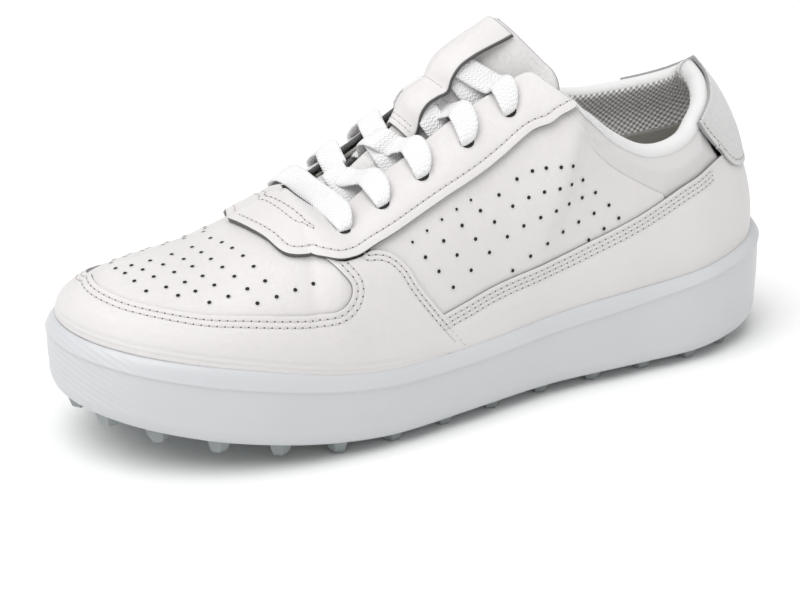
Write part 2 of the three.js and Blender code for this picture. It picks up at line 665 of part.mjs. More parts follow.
function aglet([point, tangent], direction) {
  const along = tangent.clone().multiplyScalar(direction);
  const body = new THREE.CylinderGeometry(AGLET.radius, AGLET.radius, AGLET.length, 10);
  body.applyQuaternion(new THREE.Quaternion().setFromUnitVectors(new THREE.Vector3(0, 1, 0), along));
  const centre = point.clone().addScaledVector(along, AGLET.length / 2 + BOARD.gap);
  body.translate(centre.x, centre.y, centre.z);
  return body;
}

function pierced(geometry, depths, radius) {
  let solid = toSolid(geometry);
  for (const [u, v] of LACE.eyelets) {
    for (const s of [1, -1]) {
      const centre = below(s * u, v, (depths[0] + depths[1]) / 2);
      const normal = surfaceNormal(s * u, v);
      const pin = new THREE.CylinderGeometry(radius, radius, depths[1] - depths[0] + 3, 8);
      pin.applyQuaternion(new THREE.Quaternion().setFromUnitVectors(new THREE.Vector3(0, 1, 0), normal));
      pin.translate(centre.x, centre.y, centre.z);
      solid = solid.subtract(toSolid(pin));
    }
  }
  return fromSolid(solid);
}

// ---------- assembly ----------

const shoe = new THREE.Group();

function add(name, geometry, colour, roughness = 0.6, metalness = 0) {
  const plain = geometry.index ? geometry.toNonIndexed() : geometry.clone();
  plain.deleteAttribute('normal');
  plain.computeVertexNormals();
  const mesh = new THREE.Mesh(plain, new THREE.MeshStandardMaterial({ color: colour, roughness, metalness }));
  mesh.name = name;
  shoe.add(mesh);
}

add('outsole', outsole(), COLOUR.outsole, 0.35);
add('cupsole', cupsole(), COLOUR.sole, 0.5);
add('midsole_foam', plate(SOLE.wall + 0.4, foamTop, foamBase), COLOUR.foam, 0.8);
add('shank', shank(), COLOUR.steel, 0.4, 0.8);
add('strobel_board', plate(BOARD.strobelInset, strobelBase, strobelTop), COLOUR.board, 0.9);
add('insole', plate(BOARD.insoleInset, footbed, insoleBase), COLOUR.insole, 0.8);

add('toe_guard', panel(GUARD_BASE, GUARD_EDGE, LAYER.overlay, { along: 20, across: 3 }), COLOUR.leather);
add('vamp', panel(VAMP_LOW, VAMP_HIGH, LAYER.base, { along: 14, across: 5 }), COLOUR.leather);
const eyestay = panel(EYESTAY_LOW, EYESTAY_HIGH, LAYER.overlay, { along: 18, across: 3 });
add('eyestay', pierced(eyestay, LAYER.overlay, LACE.hole), COLOUR.leather);
[['outer', 1], ['inner', -1]].forEach(([word, s]) => {
  add(`side_panel_${word}`, panel(PANEL_LOW, PANEL_HIGH, LAYER.base, { sides: [s], along: 10, across: 4 }), COLOUR.leather);
  add(`collar_panel_${word}`, panel(COLLAR_LOW, COLLAR_HIGH, LAYER.base, { sides: [s], along: 10, across: 4 }), COLOUR.leather);
  const backing = panel(BACKING_LOW, BACKING_HIGH, LAYER.backing, { sides: [s], along: 8, across: 2 });
  add(`eyestay_backing_${word}`, pierced(backing, LAYER.backing, LACE.hole + 1.8), COLOUR.mesh, 0.8);
  add(`quarter_lining_${word}`, panel(QUARTER_LOW, QUARTER_HIGH, LAYER.lining, { sides: [s], along: 12, across: 4 }), COLOUR.liner, 0.8);
});
add('heel_foxing', panel(FOXING_LOW, FOXING_HIGH, LAYER.overlay, { along: 16, across: 4 }), COLOUR.leather);
add('heel_tab', panel(TAB_LOW, TAB_HIGH, LAYER.overlay, { along: 5, across: 5 }), COLOUR.suede, 0.95);
add('toe_puff', panel(PUFF_LOW, PUFF_HIGH, LAYER.stiffener, { along: 7, across: 4 }), COLOUR.board, 0.8);
add('heel_counter', panel(COUNTER_LOW, COUNTER_HIGH, LAYER.stiffener, { along: 9, across: 3 }), COLOUR.board, 0.8);
add('collar_foam', panel(FOAM_LOW, FOAM_HIGH, LAYER.collarFoam, { along: 12, across: 3 }), COLOUR.foam, 0.9);
add('collar_lining', panel(FOAM_LOW, FOAM_HIGH, LAYER.collarLining, { along: 12, across: 3 }), COLOUR.mesh, 0.9);
add('toe_lining', panel(TOE_LINING_LOW, TOE_LINING_HIGH, LAYER.lining, { along: 11, across: 4 }), COLOUR.liner, 0.8);

add('tongue_lower', tonguePiece(0, TONGUE.hinge - TONGUE.hingeGap, 0, -TONGUE.wingGap), COLOUR.leather);
add('tongue_flap', tonguePiece(TONGUE.hinge, 1, TONGUE.flapGap, 0), COLOUR.leather);
add('strap_lower', strapPiece(STRAP.start, STRAP.split), COLOUR.leather);
add('strap_upper', strapPiece(STRAP.split + STRAP.splitGap, STRAP.end), COLOUR.leather);

const cord = lace();
add('lace', cord.body, COLOUR.lace, 0.9);
add('aglet_outer', aglet(cord.ends[0], -1), COLOUR.clear, 0.3);
add('aglet_inner', aglet(cord.ends[1], 1), COLOUR.clear, 0.3);

export default shoe;
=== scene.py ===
import math

import bmesh
import bpy
import numpy as np
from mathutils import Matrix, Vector, kdtree


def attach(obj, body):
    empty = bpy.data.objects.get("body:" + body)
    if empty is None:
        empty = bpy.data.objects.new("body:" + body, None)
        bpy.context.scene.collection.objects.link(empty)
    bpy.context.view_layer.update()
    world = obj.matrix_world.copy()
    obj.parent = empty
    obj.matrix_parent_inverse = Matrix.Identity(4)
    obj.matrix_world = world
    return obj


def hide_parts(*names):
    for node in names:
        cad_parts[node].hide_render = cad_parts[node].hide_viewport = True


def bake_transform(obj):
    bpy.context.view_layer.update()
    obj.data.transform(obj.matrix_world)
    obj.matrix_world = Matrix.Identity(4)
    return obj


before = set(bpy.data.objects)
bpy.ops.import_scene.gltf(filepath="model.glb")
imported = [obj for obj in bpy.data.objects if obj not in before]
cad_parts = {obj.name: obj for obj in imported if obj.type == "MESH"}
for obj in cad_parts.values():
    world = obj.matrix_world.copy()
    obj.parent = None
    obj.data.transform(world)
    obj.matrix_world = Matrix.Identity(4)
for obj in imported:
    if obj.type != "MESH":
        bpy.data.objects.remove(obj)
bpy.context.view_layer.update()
mm = 0.001  # the tables below are in millimetres, every mesh is in metres

# outline and outer surface of the shoe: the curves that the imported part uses, with outline rows (x, y)

sole = {
    # heel centre first, outer side, toe, inner side
    "outline": [
        (-150, 3), (-146, 16.5), (-135, 30), (-110, 41.5), (-70, 43.5), (-30, 43.8), (10, 50), (50, 55),
        (85, 53), (115, 44), (135, 30.5), (146, 15), (150, -4),
        (146, -22), (132, -38.5), (105, -51), (68, -55), (30, -50), (0, -43), (-40, -37.5), (-80, -37),
        (-112, -35), (-136, -25), (-147, -10)],
    "toeKnot": 12,
    # x, underside, top of the wall, rim, top of the footbed
    "heights": [
        (-150, 8.8, 42.7, 46.4, 30), (-100, 5.0, 35.4, 38.6, 27), (-50, 4.8, 29.5, 34.3, 24.5),
        (0, 4.9, 25.8, 30.1, 22), (50, 5.3, 26.4, 30.6, 21), (100, 12.2, 34.3, 40.0, 27),
        (150, 23.2, 44.1, 48.9, 36)],
    "spine": [(0, -100, 3), (0.5, 0, 2.5), (0.8, 72, 0), (1, 95, -3)],
    "floor": 4.5,
    "wall": 7.5,
    "lip": 0.45,        # how far the lip stands out under the bevel
    "lipHeight": 0.9,
    "heelLines": 0.22,  # depth of the fine lines round the heel
    "heelReach": 0.24,  # how far round the heel they go, and over what share they fade
    "heelFade": 0.12,
    "edgeInset": 3.0,   # rolled lower edge: where it starts, how far out and up it goes
    "edgeOut": 2.7,
    "edgeUp": 6.5,
    "wallStart": 7,
    "wallRows": 26,
    "bevelOut": 2.7,
    "around": 560,
    "outlineSteps": 3601,
    "tangentReach": 1.5,    # half the length over which the outline's direction is taken
}
upper = {
    "rimGap": 0.4,
    "rimInset": 3.8,
    "ridgeStart": 0.69,
    "step": 0.004,      # step of u and v over which slopes are taken
    # u, top edge: heel, collar, eyestay, throat
    "outerEdge": [
        (0, -118, 2.5, 114.5), (0.05, -119.5, 10, 108.5), (0.1, -115.5, 18, 102), (0.15, -107, 25, 96.5),
        (0.2, -98, 30.5, 92), (0.25, -86, 34, 90), (0.3, -74, 35.5, 91.5), (0.35, -61, 36, 98),
        (0.4, -49, 36, 107.5), (0.43, -43, 35, 112.5), (0.46, -36.5, 27, 118.5), (0.49, -31, 19, 122),
        (0.52, -20, 16, 116), (0.56, -3, 15, 107.5), (0.6, 18, 15.5, 95.3), (0.63, 34, 16, 86.5),
        (0.655, 47, 16.5, 79.5), (0.67, 53.5, 13.5, 79.5), (0.68, 58, 6, 82.5), (0.69, 59.5, -2, 84.3)],
    "innerEdge": [
        (0, -118, 2.5, 114.5), (0.05, -120, -6, 110.5), (0.1, -116, -14, 106), (0.15, -106, -22, 102),
        (0.2, -95, -28, 99.5), (0.25, -85, -31, 98.5), (0.3, -73, -33, 99.5), (0.35, -61, -34, 103),
        (0.4, -49, -34, 110), (0.43, -43, -33, 114), (0.46, -36.5, -26, 119), (0.49, -31, -19, 122.5),
        (0.52, -20, -17, 117), (0.56, -3, -16.5, 109), (0.6, 18, -17, 97), (0.63, 34, -17.5, 88),
        (0.655, 47, -18, 81.5), (0.67, 53.5, -14.5, 81), (0.68, 58, -8.5, 83), (0.69, 59.5, -2, 84.3)],
    "ridge": [
        (0.69, 59.5, -2, 84.3), (0.72, 66, -3, 82), (0.76, 76, -3.5, 78), (0.8, 87, -4, 74.3),
        (0.85, 97, -4, 72), (0.9, 107, -4, 70.8), (0.95, 114, -4, 70), (1, 118, -4, 69.5)],
    # u, lean above the rim (out, up), tuck before the top edge (out, up)
    "outerSwell": [
        (0, 0, 22, 16, -17), (0.1, 0, 20, 8, -20), (0.2, 1, 18, 5, -18), (0.3, 1.5, 18, 4, -16),
        (0.4, 1, 25, 3, -22), (0.5, -1.5, 32, 17, -12), (0.6, -1, 38, 14, -1), (0.7, -1, 32, 28, 0),
        (0.8, 0, 19, 27, 0), (0.9, 1, 12, 22, 0), (1, 1.5, 9, 18, 0)],
    "innerSwell": [
        (0, 0, 22, 16, -17), (0.1, 0, 20, 8, -20), (0.2, 1, 18, 5, -18), (0.3, 1.5, 18, 4, -16),
        (0.4, 1, 25, 3, -22), (0.5, -1.5, 32, 17, -12), (0.6, -3, 30, 12, -5), (0.7, -3, 20, 22, -4),
        (0.8, -1.5, 11, 20, -3), (0.9, 0, 8, 18, -1.5), (1, 1.5, 9, 18, 0)],
}


# smooth curve through rows of (t, a, b, ...)
def spline(rows, closed=False):
    rows = np.array(rows, float)
    t, values = rows[:, 0], rows[:, 1:]
    gap = np.diff(t)[:, None]
    slope = np.diff(values, axis=0) / gap
    tangent = np.zeros_like(values)
    if len(rows) == 2:
        tangent[:] = slope[0]
    else:
        tangent[1:-1] = (slope[:-1] * gap[1:] + slope[1:] * gap[:-1]) / (gap[:-1] + gap[1:])
        if closed:
            tangent[0] = tangent[-1] = (slope[-1] * gap[0] + slope[0] * gap[-1]) / (gap[0] + gap[-1])
        else:
            tangent[0] = 1.5 * slope[0] - 0.5 * tangent[1]
            tangent[-1] = 1.5 * slope[-1] - 0.5 * tangent[-2]

    def at(value):
        value = np.clip(np.asarray(value, float), t[0], t[-1])
        i = np.clip(np.searchsorted(t, value, side="right") - 1, 0, len(t) - 2)
        h = gap[i, 0][..., None]
        s = ((value - t[i])[..., None]) / h
        a = 2 * s**3 - 3 * s**2 + 1
        return (a * values[i] + (s**3 - 2 * s**2 + s) * h * tangent[i]
                + (1 - a) * values[i + 1] + (s**3 - s**2) * h * tangent[i + 1])
    return at


def makeOutline():
    points = np.array(sole["outline"] + sole["outline"][:1], float)
    run = np.r_[0, np.cumsum(np.linalg.norm(np.diff(points, axis=0), axis=1))]
    t = np.linspace(0, run[-1], sole["outlineSteps"])
    fine = spline(np.c_[run, points], closed=True)(t)
    length = np.r_[0, np.cumsum(np.linalg.norm(np.diff(fine, axis=0), axis=1))]
    toeLength = np.interp(run[sole["toeKnot"]], t, length)
    total = length[-1]

    def at(s):
        s = np.mod(s, total)
        return np.stack([np.interp(s, length, fine[:, 0]), np.interp(s, length, fine[:, 1])], -1)

    def outline(u, inset=0.0):
        u = np.asarray(u, float)
        s = np.where(u >= 0, u * toeLength, total + u * (total - toeLength))
        along = at(s + sole["tangentReach"]) - at(s - sole["tangentReach"])
        along /= np.linalg.norm(along, axis=-1, keepdims=True)
        normal = np.stack([-along[..., 1], along[..., 0]], -1)
        return at(s) - normal * np.asarray(inset)[..., None], normal
    return outline


outline = makeOutline()
heights = spline(sole["heights"])
soleSpine = spline(sole["spine"])
outerEdge, innerEdge = spline(upper["outerEdge"]), spline(upper["innerEdge"])
ridge = spline(upper["ridge"])
outerSwell, innerSwell = spline(upper["outerSwell"]), spline(upper["innerSwell"])


def surfacePoint(u, v):
    u, v = np.broadcast_arrays(np.asarray(u, float), np.asarray(v, float))
    a = np.abs(u)
    isOuter = (u >= 0)[..., None]
    onRidge = a >= upper["ridgeStart"]
    base, normal = outline(u, upper["rimInset"])
    start = np.concatenate([base, heights(base[..., 0])[..., 2:3] + upper["rimGap"]], -1)
    top = np.where(onRidge[..., None], ridge(a), np.where(isOuter, outerEdge(a), innerEdge(a)))
    swell = np.where(isOuter, outerSwell(a), innerSwell(a))
    ahead = ridge(np.minimum(a + upper["step"], 1))
    behind = ridge(np.maximum(a - upper["step"], upper["ridgeStart"]))
    step = np.where(onRidge, ahead[..., 0] - behind[..., 0], 1)
    fall = np.where(onRidge, (ahead[..., 2] - behind[..., 2]) / step, 0)
    low = start + np.stack([normal[..., 0] * swell[..., 0], normal[..., 1] * swell[..., 0],
                            swell[..., 1]], -1)
    high = top + np.stack([normal[..., 0] * swell[..., 2], normal[..., 1] * swell[..., 2],
                           swell[..., 3] + fall * normal[..., 0] * swell[..., 2]], -1)
    w = v[..., None]
    return (1 - w)**3 * start + 3 * w * (1 - w)**2 * low + 3 * w * w * (1 - w) * high + w**3 * top


def surfaceNormal(u, v):
    u, v = np.broadcast_arrays(np.asarray(u, float), np.asarray(v, float))
    step = upper["step"]
    side = np.where(u < 0, -1.0, 1.0)
    a = np.minimum(np.abs(u), 1 - step)
    along = surfacePoint(side * (a + step), v) - surfacePoint(side * np.maximum(a - step, 0), v)
    up = surfacePoint(side * a, np.minimum(v + step, 1)) - surfacePoint(side * a, np.minimum(v, 1) - step)
    normal = np.cross(up, along) * side[..., None]
    onMiddle = (np.abs(u) > 1 - step) | (np.abs(u) < step)
    normal[..., 1] = np.where(onMiddle, 0, normal[..., 1])
    return normal / np.linalg.norm(normal, axis=-1, keepdims=True)


# point at a depth under the outer surface; where the two sides meet it lies midway between them
def below(u, v, depth):
    u, v, depth = np.broadcast_arrays(*(np.asarray(k, float) for k in (u, v, depth)))
    near = 1e-4
    a = np.abs(u)
    onSeam = (a < near) | (a > 1 - near) | ((v > 1 - near) & (a >= upper["ridgeStart"]))
    here = surfacePoint(u, v) - surfaceNormal(u, v) * depth[..., None]
    there = surfacePoint(-u, v) - surfaceNormal(-u, v) * depth[..., None]
    return np.where(onSeam[..., None], (here + there) / 2, here)


# mesh helpers

def gridFaces(rows, columns, closedRows=False):
    faces = []
    for i in range(rows if closedRows else rows - 1):
        k = (i + 1) % rows
        faces += [(i * columns + j, i * columns + j + 1, k * columns + j + 1, k * columns + j)
                  for j in range(columns - 1)]
    return faces


# one mesh object from parts of (points in mm, faces, {attribute: values}), welded and facing outwards
def makeMesh(name, parts, materials, weld=0.01, closed=True, sharp=None):
    points, faces, offset = [], [], 0
    attributes = {}
    for partPoints, partFaces, values in parts:
        partPoints = np.asarray(partPoints, float).reshape(-1, 3)
        points.append(partPoints)
        faces += [tuple(k + offset for k in face) for face in partFaces]
        for key, data in values.items():
            attributes.setdefault(key, []).append(np.asarray(data, float).reshape(len(partPoints), -1))
        offset += len(partPoints)
    mesh = bpy.data.meshes.new(name)
    mesh.from_pydata((np.concatenate(points) * mm).tolist(), [], faces)
    for key, data in attributes.items():
        data = np.concatenate(data)
        if data.shape[1] == 1:
            mesh.attributes.new(key, "FLOAT", "POINT").data.foreach_set("value", data.ravel())
        else:
            mesh.attributes.new(key, "FLOAT_VECTOR", "POINT").data.foreach_set("vector", data.ravel())
    form = bmesh.new()
    form.from_mesh(mesh)
    bmesh.ops.remove_doubles(form, verts=form.verts, dist=weld * mm)
    bmesh.ops.dissolve_degenerate(form, edges=form.edges, dist=1e-6)
    if closed and form.calc_volume(signed=True) < 0:
        bmesh.ops.reverse_faces(form, faces=form.faces)
    for face in form.faces:
        face.smooth = True
    form.to_mesh(mesh)
    form.free()
    if sharp is not None:
        mesh.set_sharp_from_angle(angle=math.radians(sharp))
    for material in materials:
        mesh.materials.append(material)
    piece = bpy.data.objects.new(name, mesh)
    bpy.context.scene.collection.objects.link(piece)
    return piece


def shell(outer, inner, values, openEdges=("low", "high", "start", "end"), joint=None):
    rows, columns = outer.shape[:2]
    count = rows * columns
    faces = gridFaces(rows, columns)
    faces += [tuple(count + k for k in reversed(face)) for face in gridFaces(rows, columns)]
    edges = {
        "low": [i * columns for i in range(rows)],
        "high": [i * columns + columns - 1 for i in reversed(range(rows))],
        "start": list(reversed(range(columns))),
        "end": [(rows - 1) * columns + j for j in range(columns)],
    }
    for key in openEdges:
        for a, b in zip(edges[key], edges[key][1:]):
            if joint is None or not (joint[a] and joint[b]):
                faces.append((a, b, count + b, count + a))
    doubled = {key: np.concatenate([data.reshape(count, -1), data.reshape(count, -1)])
               for key, data in values.items()}
    if "cut" in values:
        edge = np.zeros(count)
        for key in openEdges:
            edge[edges[key]] = 1
        if joint is not None:
            edge[joint] = 0
        doubled["cut"] = np.concatenate([edge, edge])[:, None]
    return np.concatenate([outer.reshape(-1, 3), inner.reshape(-1, 3)]), faces, doubled


def ride(piece, slot, *nodes, body="shoe"):
    if nodes:
        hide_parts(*nodes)
    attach(piece, body)
    return piece


# material parts that several finishes share

def newGroup(name, inputs, outputs):
    tree = bpy.data.node_groups.new(name, "ShaderNodeTree")
    for label, kind, value in inputs:
        socket = tree.interface.new_socket(label, in_out="INPUT", socket_type=kind)
        socket.default_value = value
    for label, kind in outputs:
        tree.interface.new_socket(label, in_out="OUTPUT", socket_type=kind)
    return tree, tree.nodes.new("NodeGroupInput"), tree.nodes.new("NodeGroupOutput")


def node(tree, kind, inputs=None, **settings):
    made = tree.nodes.new(kind)
    for key, value in settings.items():
        setattr(made, key, value)
    for key, value in (inputs or {}).items():
        if isinstance(value, bpy.types.NodeSocket):
            tree.links.new(value, made.inputs[key])
        else:
            made.inputs[key].default_value = value
    return made


def maths(tree, operation, *values, clamp=False):
    inputs = dict(enumerate(values))
    return node(tree, "ShaderNodeMath", inputs, operation=operation, use_clamp=clamp).outputs[0]


# pebbled grain with soft creases: height for a bump, and a tone that varies over the hide
def leatherGrainGroup():
    tree, given, out = newGroup("leatherGrain", [
        ("Pebbles per metre", "NodeSocketFloat", 1400.0), ("Crease", "NodeSocketFloat", 0.35)],
        [("Height", "NodeSocketFloat"), ("Tone", "NodeSocketFloat")])
    where = node(tree, "ShaderNodeTexCoord").outputs["Object"]
    warp = node(tree, "ShaderNodeTexNoise", {"Vector": where, "Scale": 300.0, "Detail": 2.0})
    shift = node(tree, "ShaderNodeVectorMath", {0: warp.outputs["Color"], "Scale": 0.0006}, operation="SCALE")
    bent = node(tree, "ShaderNodeVectorMath", {0: where, 1: warp.outputs["Color"], 2: shift.outputs[0]},
                operation="MULTIPLY_ADD")
    cells = node(tree, "ShaderNodeTexVoronoi", {"Vector": bent.outputs[0], "Scale": given.outputs[0]},
                 feature="SMOOTH_F1")
    folds = node(tree, "ShaderNodeTexNoise", {
        "Vector": where, "Scale": 62.0, "Detail": 5.0, "Roughness": 0.62})
    ridged = maths(tree, "ABSOLUTE", maths(tree, "SUBTRACT", folds.outputs[0], 0.5))
    creases = maths(tree, "MULTIPLY", ridged, given.outputs[1])
    height = maths(tree, "MULTIPLY_ADD", cells.outputs["Distance"], -0.5, creases)
    tree.links.new(height, out.inputs[0])
    broad = node(tree, "ShaderNodeTexNoise", {"Vector": where, "Scale": 26.0, "Detail": 4.0})
    speckle = maths(tree, "MULTIPLY", cells.outputs["Distance"], 0.25)
    tree.links.new(maths(tree, "MULTIPLY_ADD", broad.outputs[0], 0.8, speckle), out.inputs[1])
    return tree


# woven or knitted relief on a piece's own "route" attribute (along, across, in mm), with a painted shade mask
# that is darker in the weave's low spots
def weaveGroup():
    tree, given, out = newGroup("weave", [
        ("Along", "NodeSocketFloat", 1.2), ("Across", "NodeSocketFloat", 1.2),
        ("Chevron", "NodeSocketFloat", 0.0)],
        [("Height", "NodeSocketFloat"), ("Gap shade", "NodeSocketFloat")])
    route = node(tree, "ShaderNodeAttribute", attribute_name="route")
    parts = node(tree, "ShaderNodeSeparateXYZ", {0: route.outputs["Vector"]})
    fold = maths(tree, "MULTIPLY", maths(tree, "PINGPONG", parts.outputs[1], 2.0), given.outputs[2])
    along = maths(tree, "ADD", parts.outputs[0], fold)
    waves = []
    for place, pitch in ((along, given.outputs[0]), (parts.outputs[1], given.outputs[1])):
        turns = maths(tree, "DIVIDE", place, pitch)
        waves.append(maths(tree, "SINE", maths(tree, "MULTIPLY", turns, 2 * math.pi)))
    height = maths(tree, "MULTIPLY", *waves)
    tree.links.new(height, out.inputs[0])
    # painted shade: the mask is highest where the relief is lowest, so the weave darkens in its low spots
    tree.links.new(maths(tree, "MULTIPLY_ADD", height, -0.5, 0.5), out.inputs[1])
    return tree


# dust and handling: a soft mask of broad patches
def wearGroup():
    tree, given, out = newGroup("wear", [
        ("Patches", "NodeSocketFloat", 40.0), ("Amount", "NodeSocketFloat", 0.5)],
        [("Mask", "NodeSocketFloat")])
    where = node(tree, "ShaderNodeTexCoord").outputs["Object"]
    noise = node(tree, "ShaderNodeTexNoise", {"Vector": where, "Scale": given.outputs[0], "Detail": 6.0})
    tree.links.new(maths(tree, "MULTIPLY", noise.outputs[0], given.outputs[1]), out.inputs[0])
    return tree


groups = {"grain": leatherGrainGroup(), "weave": weaveGroup(), "wear": wearGroup()}


def useGroup(tree, name, **values):
    made = tree.nodes.new("ShaderNodeGroup")
    made.node_tree = groups[name]
    for key, value in values.items():
        made.inputs[key.replace("_", " ")].default_value = value
    return made


def newMaterial(name, roughness=0.5, **constants):
    material = bpy.data.materials.new(name)
    material.use_nodes = True
    tree = material.node_tree
    shader = tree.nodes["Principled BSDF"]
    shader.inputs["Roughness"].default_value = roughness
    for key, value in constants.items():
        shader.inputs[key.replace("_", " ")].default_value = value
    return material, tree, shader


def mixColour(tree, share, first, second):
    mixed = node(tree, "ShaderNodeMix", {"Factor": share}, data_type="RGBA")
    for key, value in ((6, first), (7, second)):
        if isinstance(value, bpy.types.NodeSocket):
            tree.links.new(value, mixed.inputs[key])
        else:
            mixed.inputs[key].default_value = (*value, 1)
    return mixed.outputs[2]


def bump(tree, shader, height, distance, strength=1.0):
    made = node(tree, "ShaderNodeBump", {"Height": height, "Distance": distance, "Strength": strength})
    tree.links.new(made.outputs[0], shader.inputs["Normal"])


def leather(name, light, dark, cutColour, roughness=0.42, pebbles=1500.0, relief=0.00012):
    material, tree, shader = newMaterial(name, roughness, Coat_Weight=0.04, Coat_Roughness=0.35)
    grain = useGroup(tree, "grain", Pebbles_per_metre=pebbles, Crease=0.5)
    hide = mixColour(tree, grain.outputs["Tone"], dark, light)
    cut = node(tree, "ShaderNodeAttribute", attribute_name="cut").outputs["Fac"]
    sharp = maths(tree, "MULTIPLY_ADD", cut, 3.0, -1.2, clamp=True)
    tree.links.new(mixColour(tree, sharp, hide, cutColour), shader.inputs["Base Color"])
    tree.links.new(maths(tree, "MULTIPLY_ADD", grain.outputs["Tone"], 0.16, roughness - 0.08),
                   shader.inputs["Roughness"])
    bump(tree, shader, grain.outputs["Height"], relief)
    return material


def moulded(name, light, dark, roughness, relief=0.00004, heelKnurl=False, **constants):
    material, tree, shader = newMaterial(name, roughness, **constants)
    wear = useGroup(tree, "wear", Patches=35.0, Amount=1.0)
    tree.links.new(mixColour(tree, wear.outputs[0], dark, light), shader.inputs["Base Color"])
    where = node(tree, "ShaderNodeTexCoord").outputs["Object"]
    fine = node(tree, "ShaderNodeTexNoise", {"Vector": where, "Scale": 1800.0, "Detail": 2.0}).outputs[0]
    height = fine
    if heelKnurl:
        fromMiddle = maths(tree, "ABSOLUTE", node(tree, "ShaderNodeSeparateXYZ", {0: where}).outputs[0])
        ends = maths(tree, "MULTIPLY_ADD", fromMiddle, 55.0, -6.9, clamp=True)
        leaning = node(tree, "ShaderNodeMapping", {"Vector": where, "Rotation": (0, 0.6, 0.6)})
        ribs = node(tree, "ShaderNodeTexWave", {"Vector": leaning.outputs[0], "Scale": 160.0},
                    bands_direction="Z")
        knurl = maths(tree, "MULTIPLY", ribs.outputs["Fac"], ends)
        height = maths(tree, "MULTIPLY_ADD", knurl, 2.6, fine)
    bump(tree, shader, height, relief)
    return material


def woven(name, light, dark, along, across, chevron, relief, roughness=0.85, sheen=0.3):
    material, tree, shader = newMaterial(name, roughness, Sheen_Weight=sheen, Sheen_Roughness=0.5)
    weave = useGroup(tree, "weave", Along=along, Across=across, Chevron=chevron)
    wear = useGroup(tree, "wear", Patches=90.0, Amount=0.4)
    # colour: painted shade in the weave's low spots plus dust and handling patches
    shade = maths(tree, "MULTIPLY_ADD", weave.outputs["Gap shade"], 0.75, wear.outputs[0], clamp=True)
    tree.links.new(mixColour(tree, shade, light, dark), shader.inputs["Base Color"])
    bump(tree, shader, weave.outputs["Height"], relief)
    return material


def napped(name, light, dark):
    material, tree, shader = newMaterial(name, 0.95, Sheen_Weight=0.6, Sheen_Roughness=0.6)
    where = node(tree, "ShaderNodeTexCoord").outputs["Object"]
    nap = node(tree, "ShaderNodeTexNoise", {
        "Vector": where, "Scale": 1500.0, "Detail": 6.0, "Roughness": 0.7})
    speckle = maths(tree, "MULTIPLY_ADD", nap.outputs[0], 2.6, -0.8, clamp=True)
    hide = mixColour(tree, speckle, dark, light)
    cut = node(tree, "ShaderNodeAttribute", attribute_name="cut").outputs["Fac"]
    tree.links.new(mixColour(tree, cut, hide, tuple(k * 0.6 for k in dark)), shader.inputs["Base Color"])
    bump(tree, shader, nap.outputs[0], 0.0004)
    return material


def plainInside(name, light, dark, roughness, metallic=0.0, scale=900.0):
    material, tree, shader = newMaterial(name, roughness, Metallic=metallic)
    where = node(tree, "ShaderNodeTexCoord").outputs["Object"]
    noise = node(tree, "ShaderNodeTexNoise", {"Vector": where, "Scale": scale, "Detail": 4.0})
    tree.links.new(mixColour(tree, noise.outputs[0], dark, light), shader.inputs["Base Color"])
    bump(tree, shader, noise.outputs[0], 0.00008)
    return material


finish = {
    "hide": leather("whiteLeather", (0.775, 0.752, 0.747), (0.70, 0.677, 0.672), (0.10, 0.10, 0.10)),
    "softHide": leather("softLeather", (0.765, 0.745, 0.742), (0.685, 0.665, 0.662), (0.30, 0.29, 0.29),
                        pebbles=1100.0, relief=0.00018),
    "guard": leather("guardLeather", (0.775, 0.752, 0.747), (0.70, 0.677, 0.672), (0.28, 0.27, 0.27)),
    "sole": moulded("soleCompound", (0.60, 0.613, 0.628), (0.55, 0.563, 0.58), 0.36, heelKnurl=True),
    "tread": moulded("treadCompound", (0.40, 0.44, 0.44), (0.28, 0.31, 0.31), 0.22, Transmission_Weight=0.25,
                     Coat_Weight=0.3),
    "suede": napped("suedeNap", (0.74, 0.74, 0.735), (0.50, 0.50, 0.495)),
    # the woven finishes (mesh, roll cloth, footbed, lace, thread) carry painted shade in their weave's low
    # spots
    "mesh": woven("knitMesh", (0.88, 0.88, 0.87), (0.66, 0.65, 0.64), 2.4, 2.4, 0.0, 0.0003),
    "rollCloth": woven("rollCloth", (0.88, 0.88, 0.875), (0.78, 0.78, 0.775), 0.7, 0.7, 0.0, 0.00008),
    "lining": leather("liningLeather", (0.56, 0.535, 0.50), (0.46, 0.44, 0.41), (0.3, 0.29, 0.27), 0.6),
    "footbed": woven("footbedCloth", (0.60, 0.57, 0.52), (0.42, 0.40, 0.36), 1.1, 1.1, 0.0, 0.0002),
    "lace": woven("laceWeave", (0.93, 0.93, 0.93), (0.80, 0.80, 0.80), 1.5, 1.9, 0.8, 0.00016),
    "thread": woven("thread", (0.70, 0.67, 0.65), (0.50, 0.48, 0.46), 0.5, 0.5, 0.0, 0.00005, roughness=0.6),
    # the hole and needle finishes are near-black painted shade for the insides of punched holes, eyelets and
    # needle holes
    "hole": plainInside("punchedHoleShade", (0.02, 0.02, 0.02), (0.008, 0.008, 0.008), 0.9),
    "needleShade": plainInside("needleHoleShade", (0.13, 0.12, 0.12), (0.06, 0.06, 0.06), 0.9),
    "board": plainInside("fibreBoard", (0.55, 0.47, 0.35), (0.42, 0.35, 0.25), 0.9),
    "foam": plainInside("foam", (0.72, 0.69, 0.58), (0.60, 0.57, 0.46), 0.95),
    "steel": plainInside("springSteel", (0.55, 0.57, 0.60), (0.42, 0.44, 0.46), 0.35, metallic=1.0),
    "film": plainInside("agletFilm", (0.80, 0.82, 0.83), (0.70, 0.72, 0.73), 0.2),
}
print("finishes made", len(finish))


# the repeats: stitches, punched holes and lugs

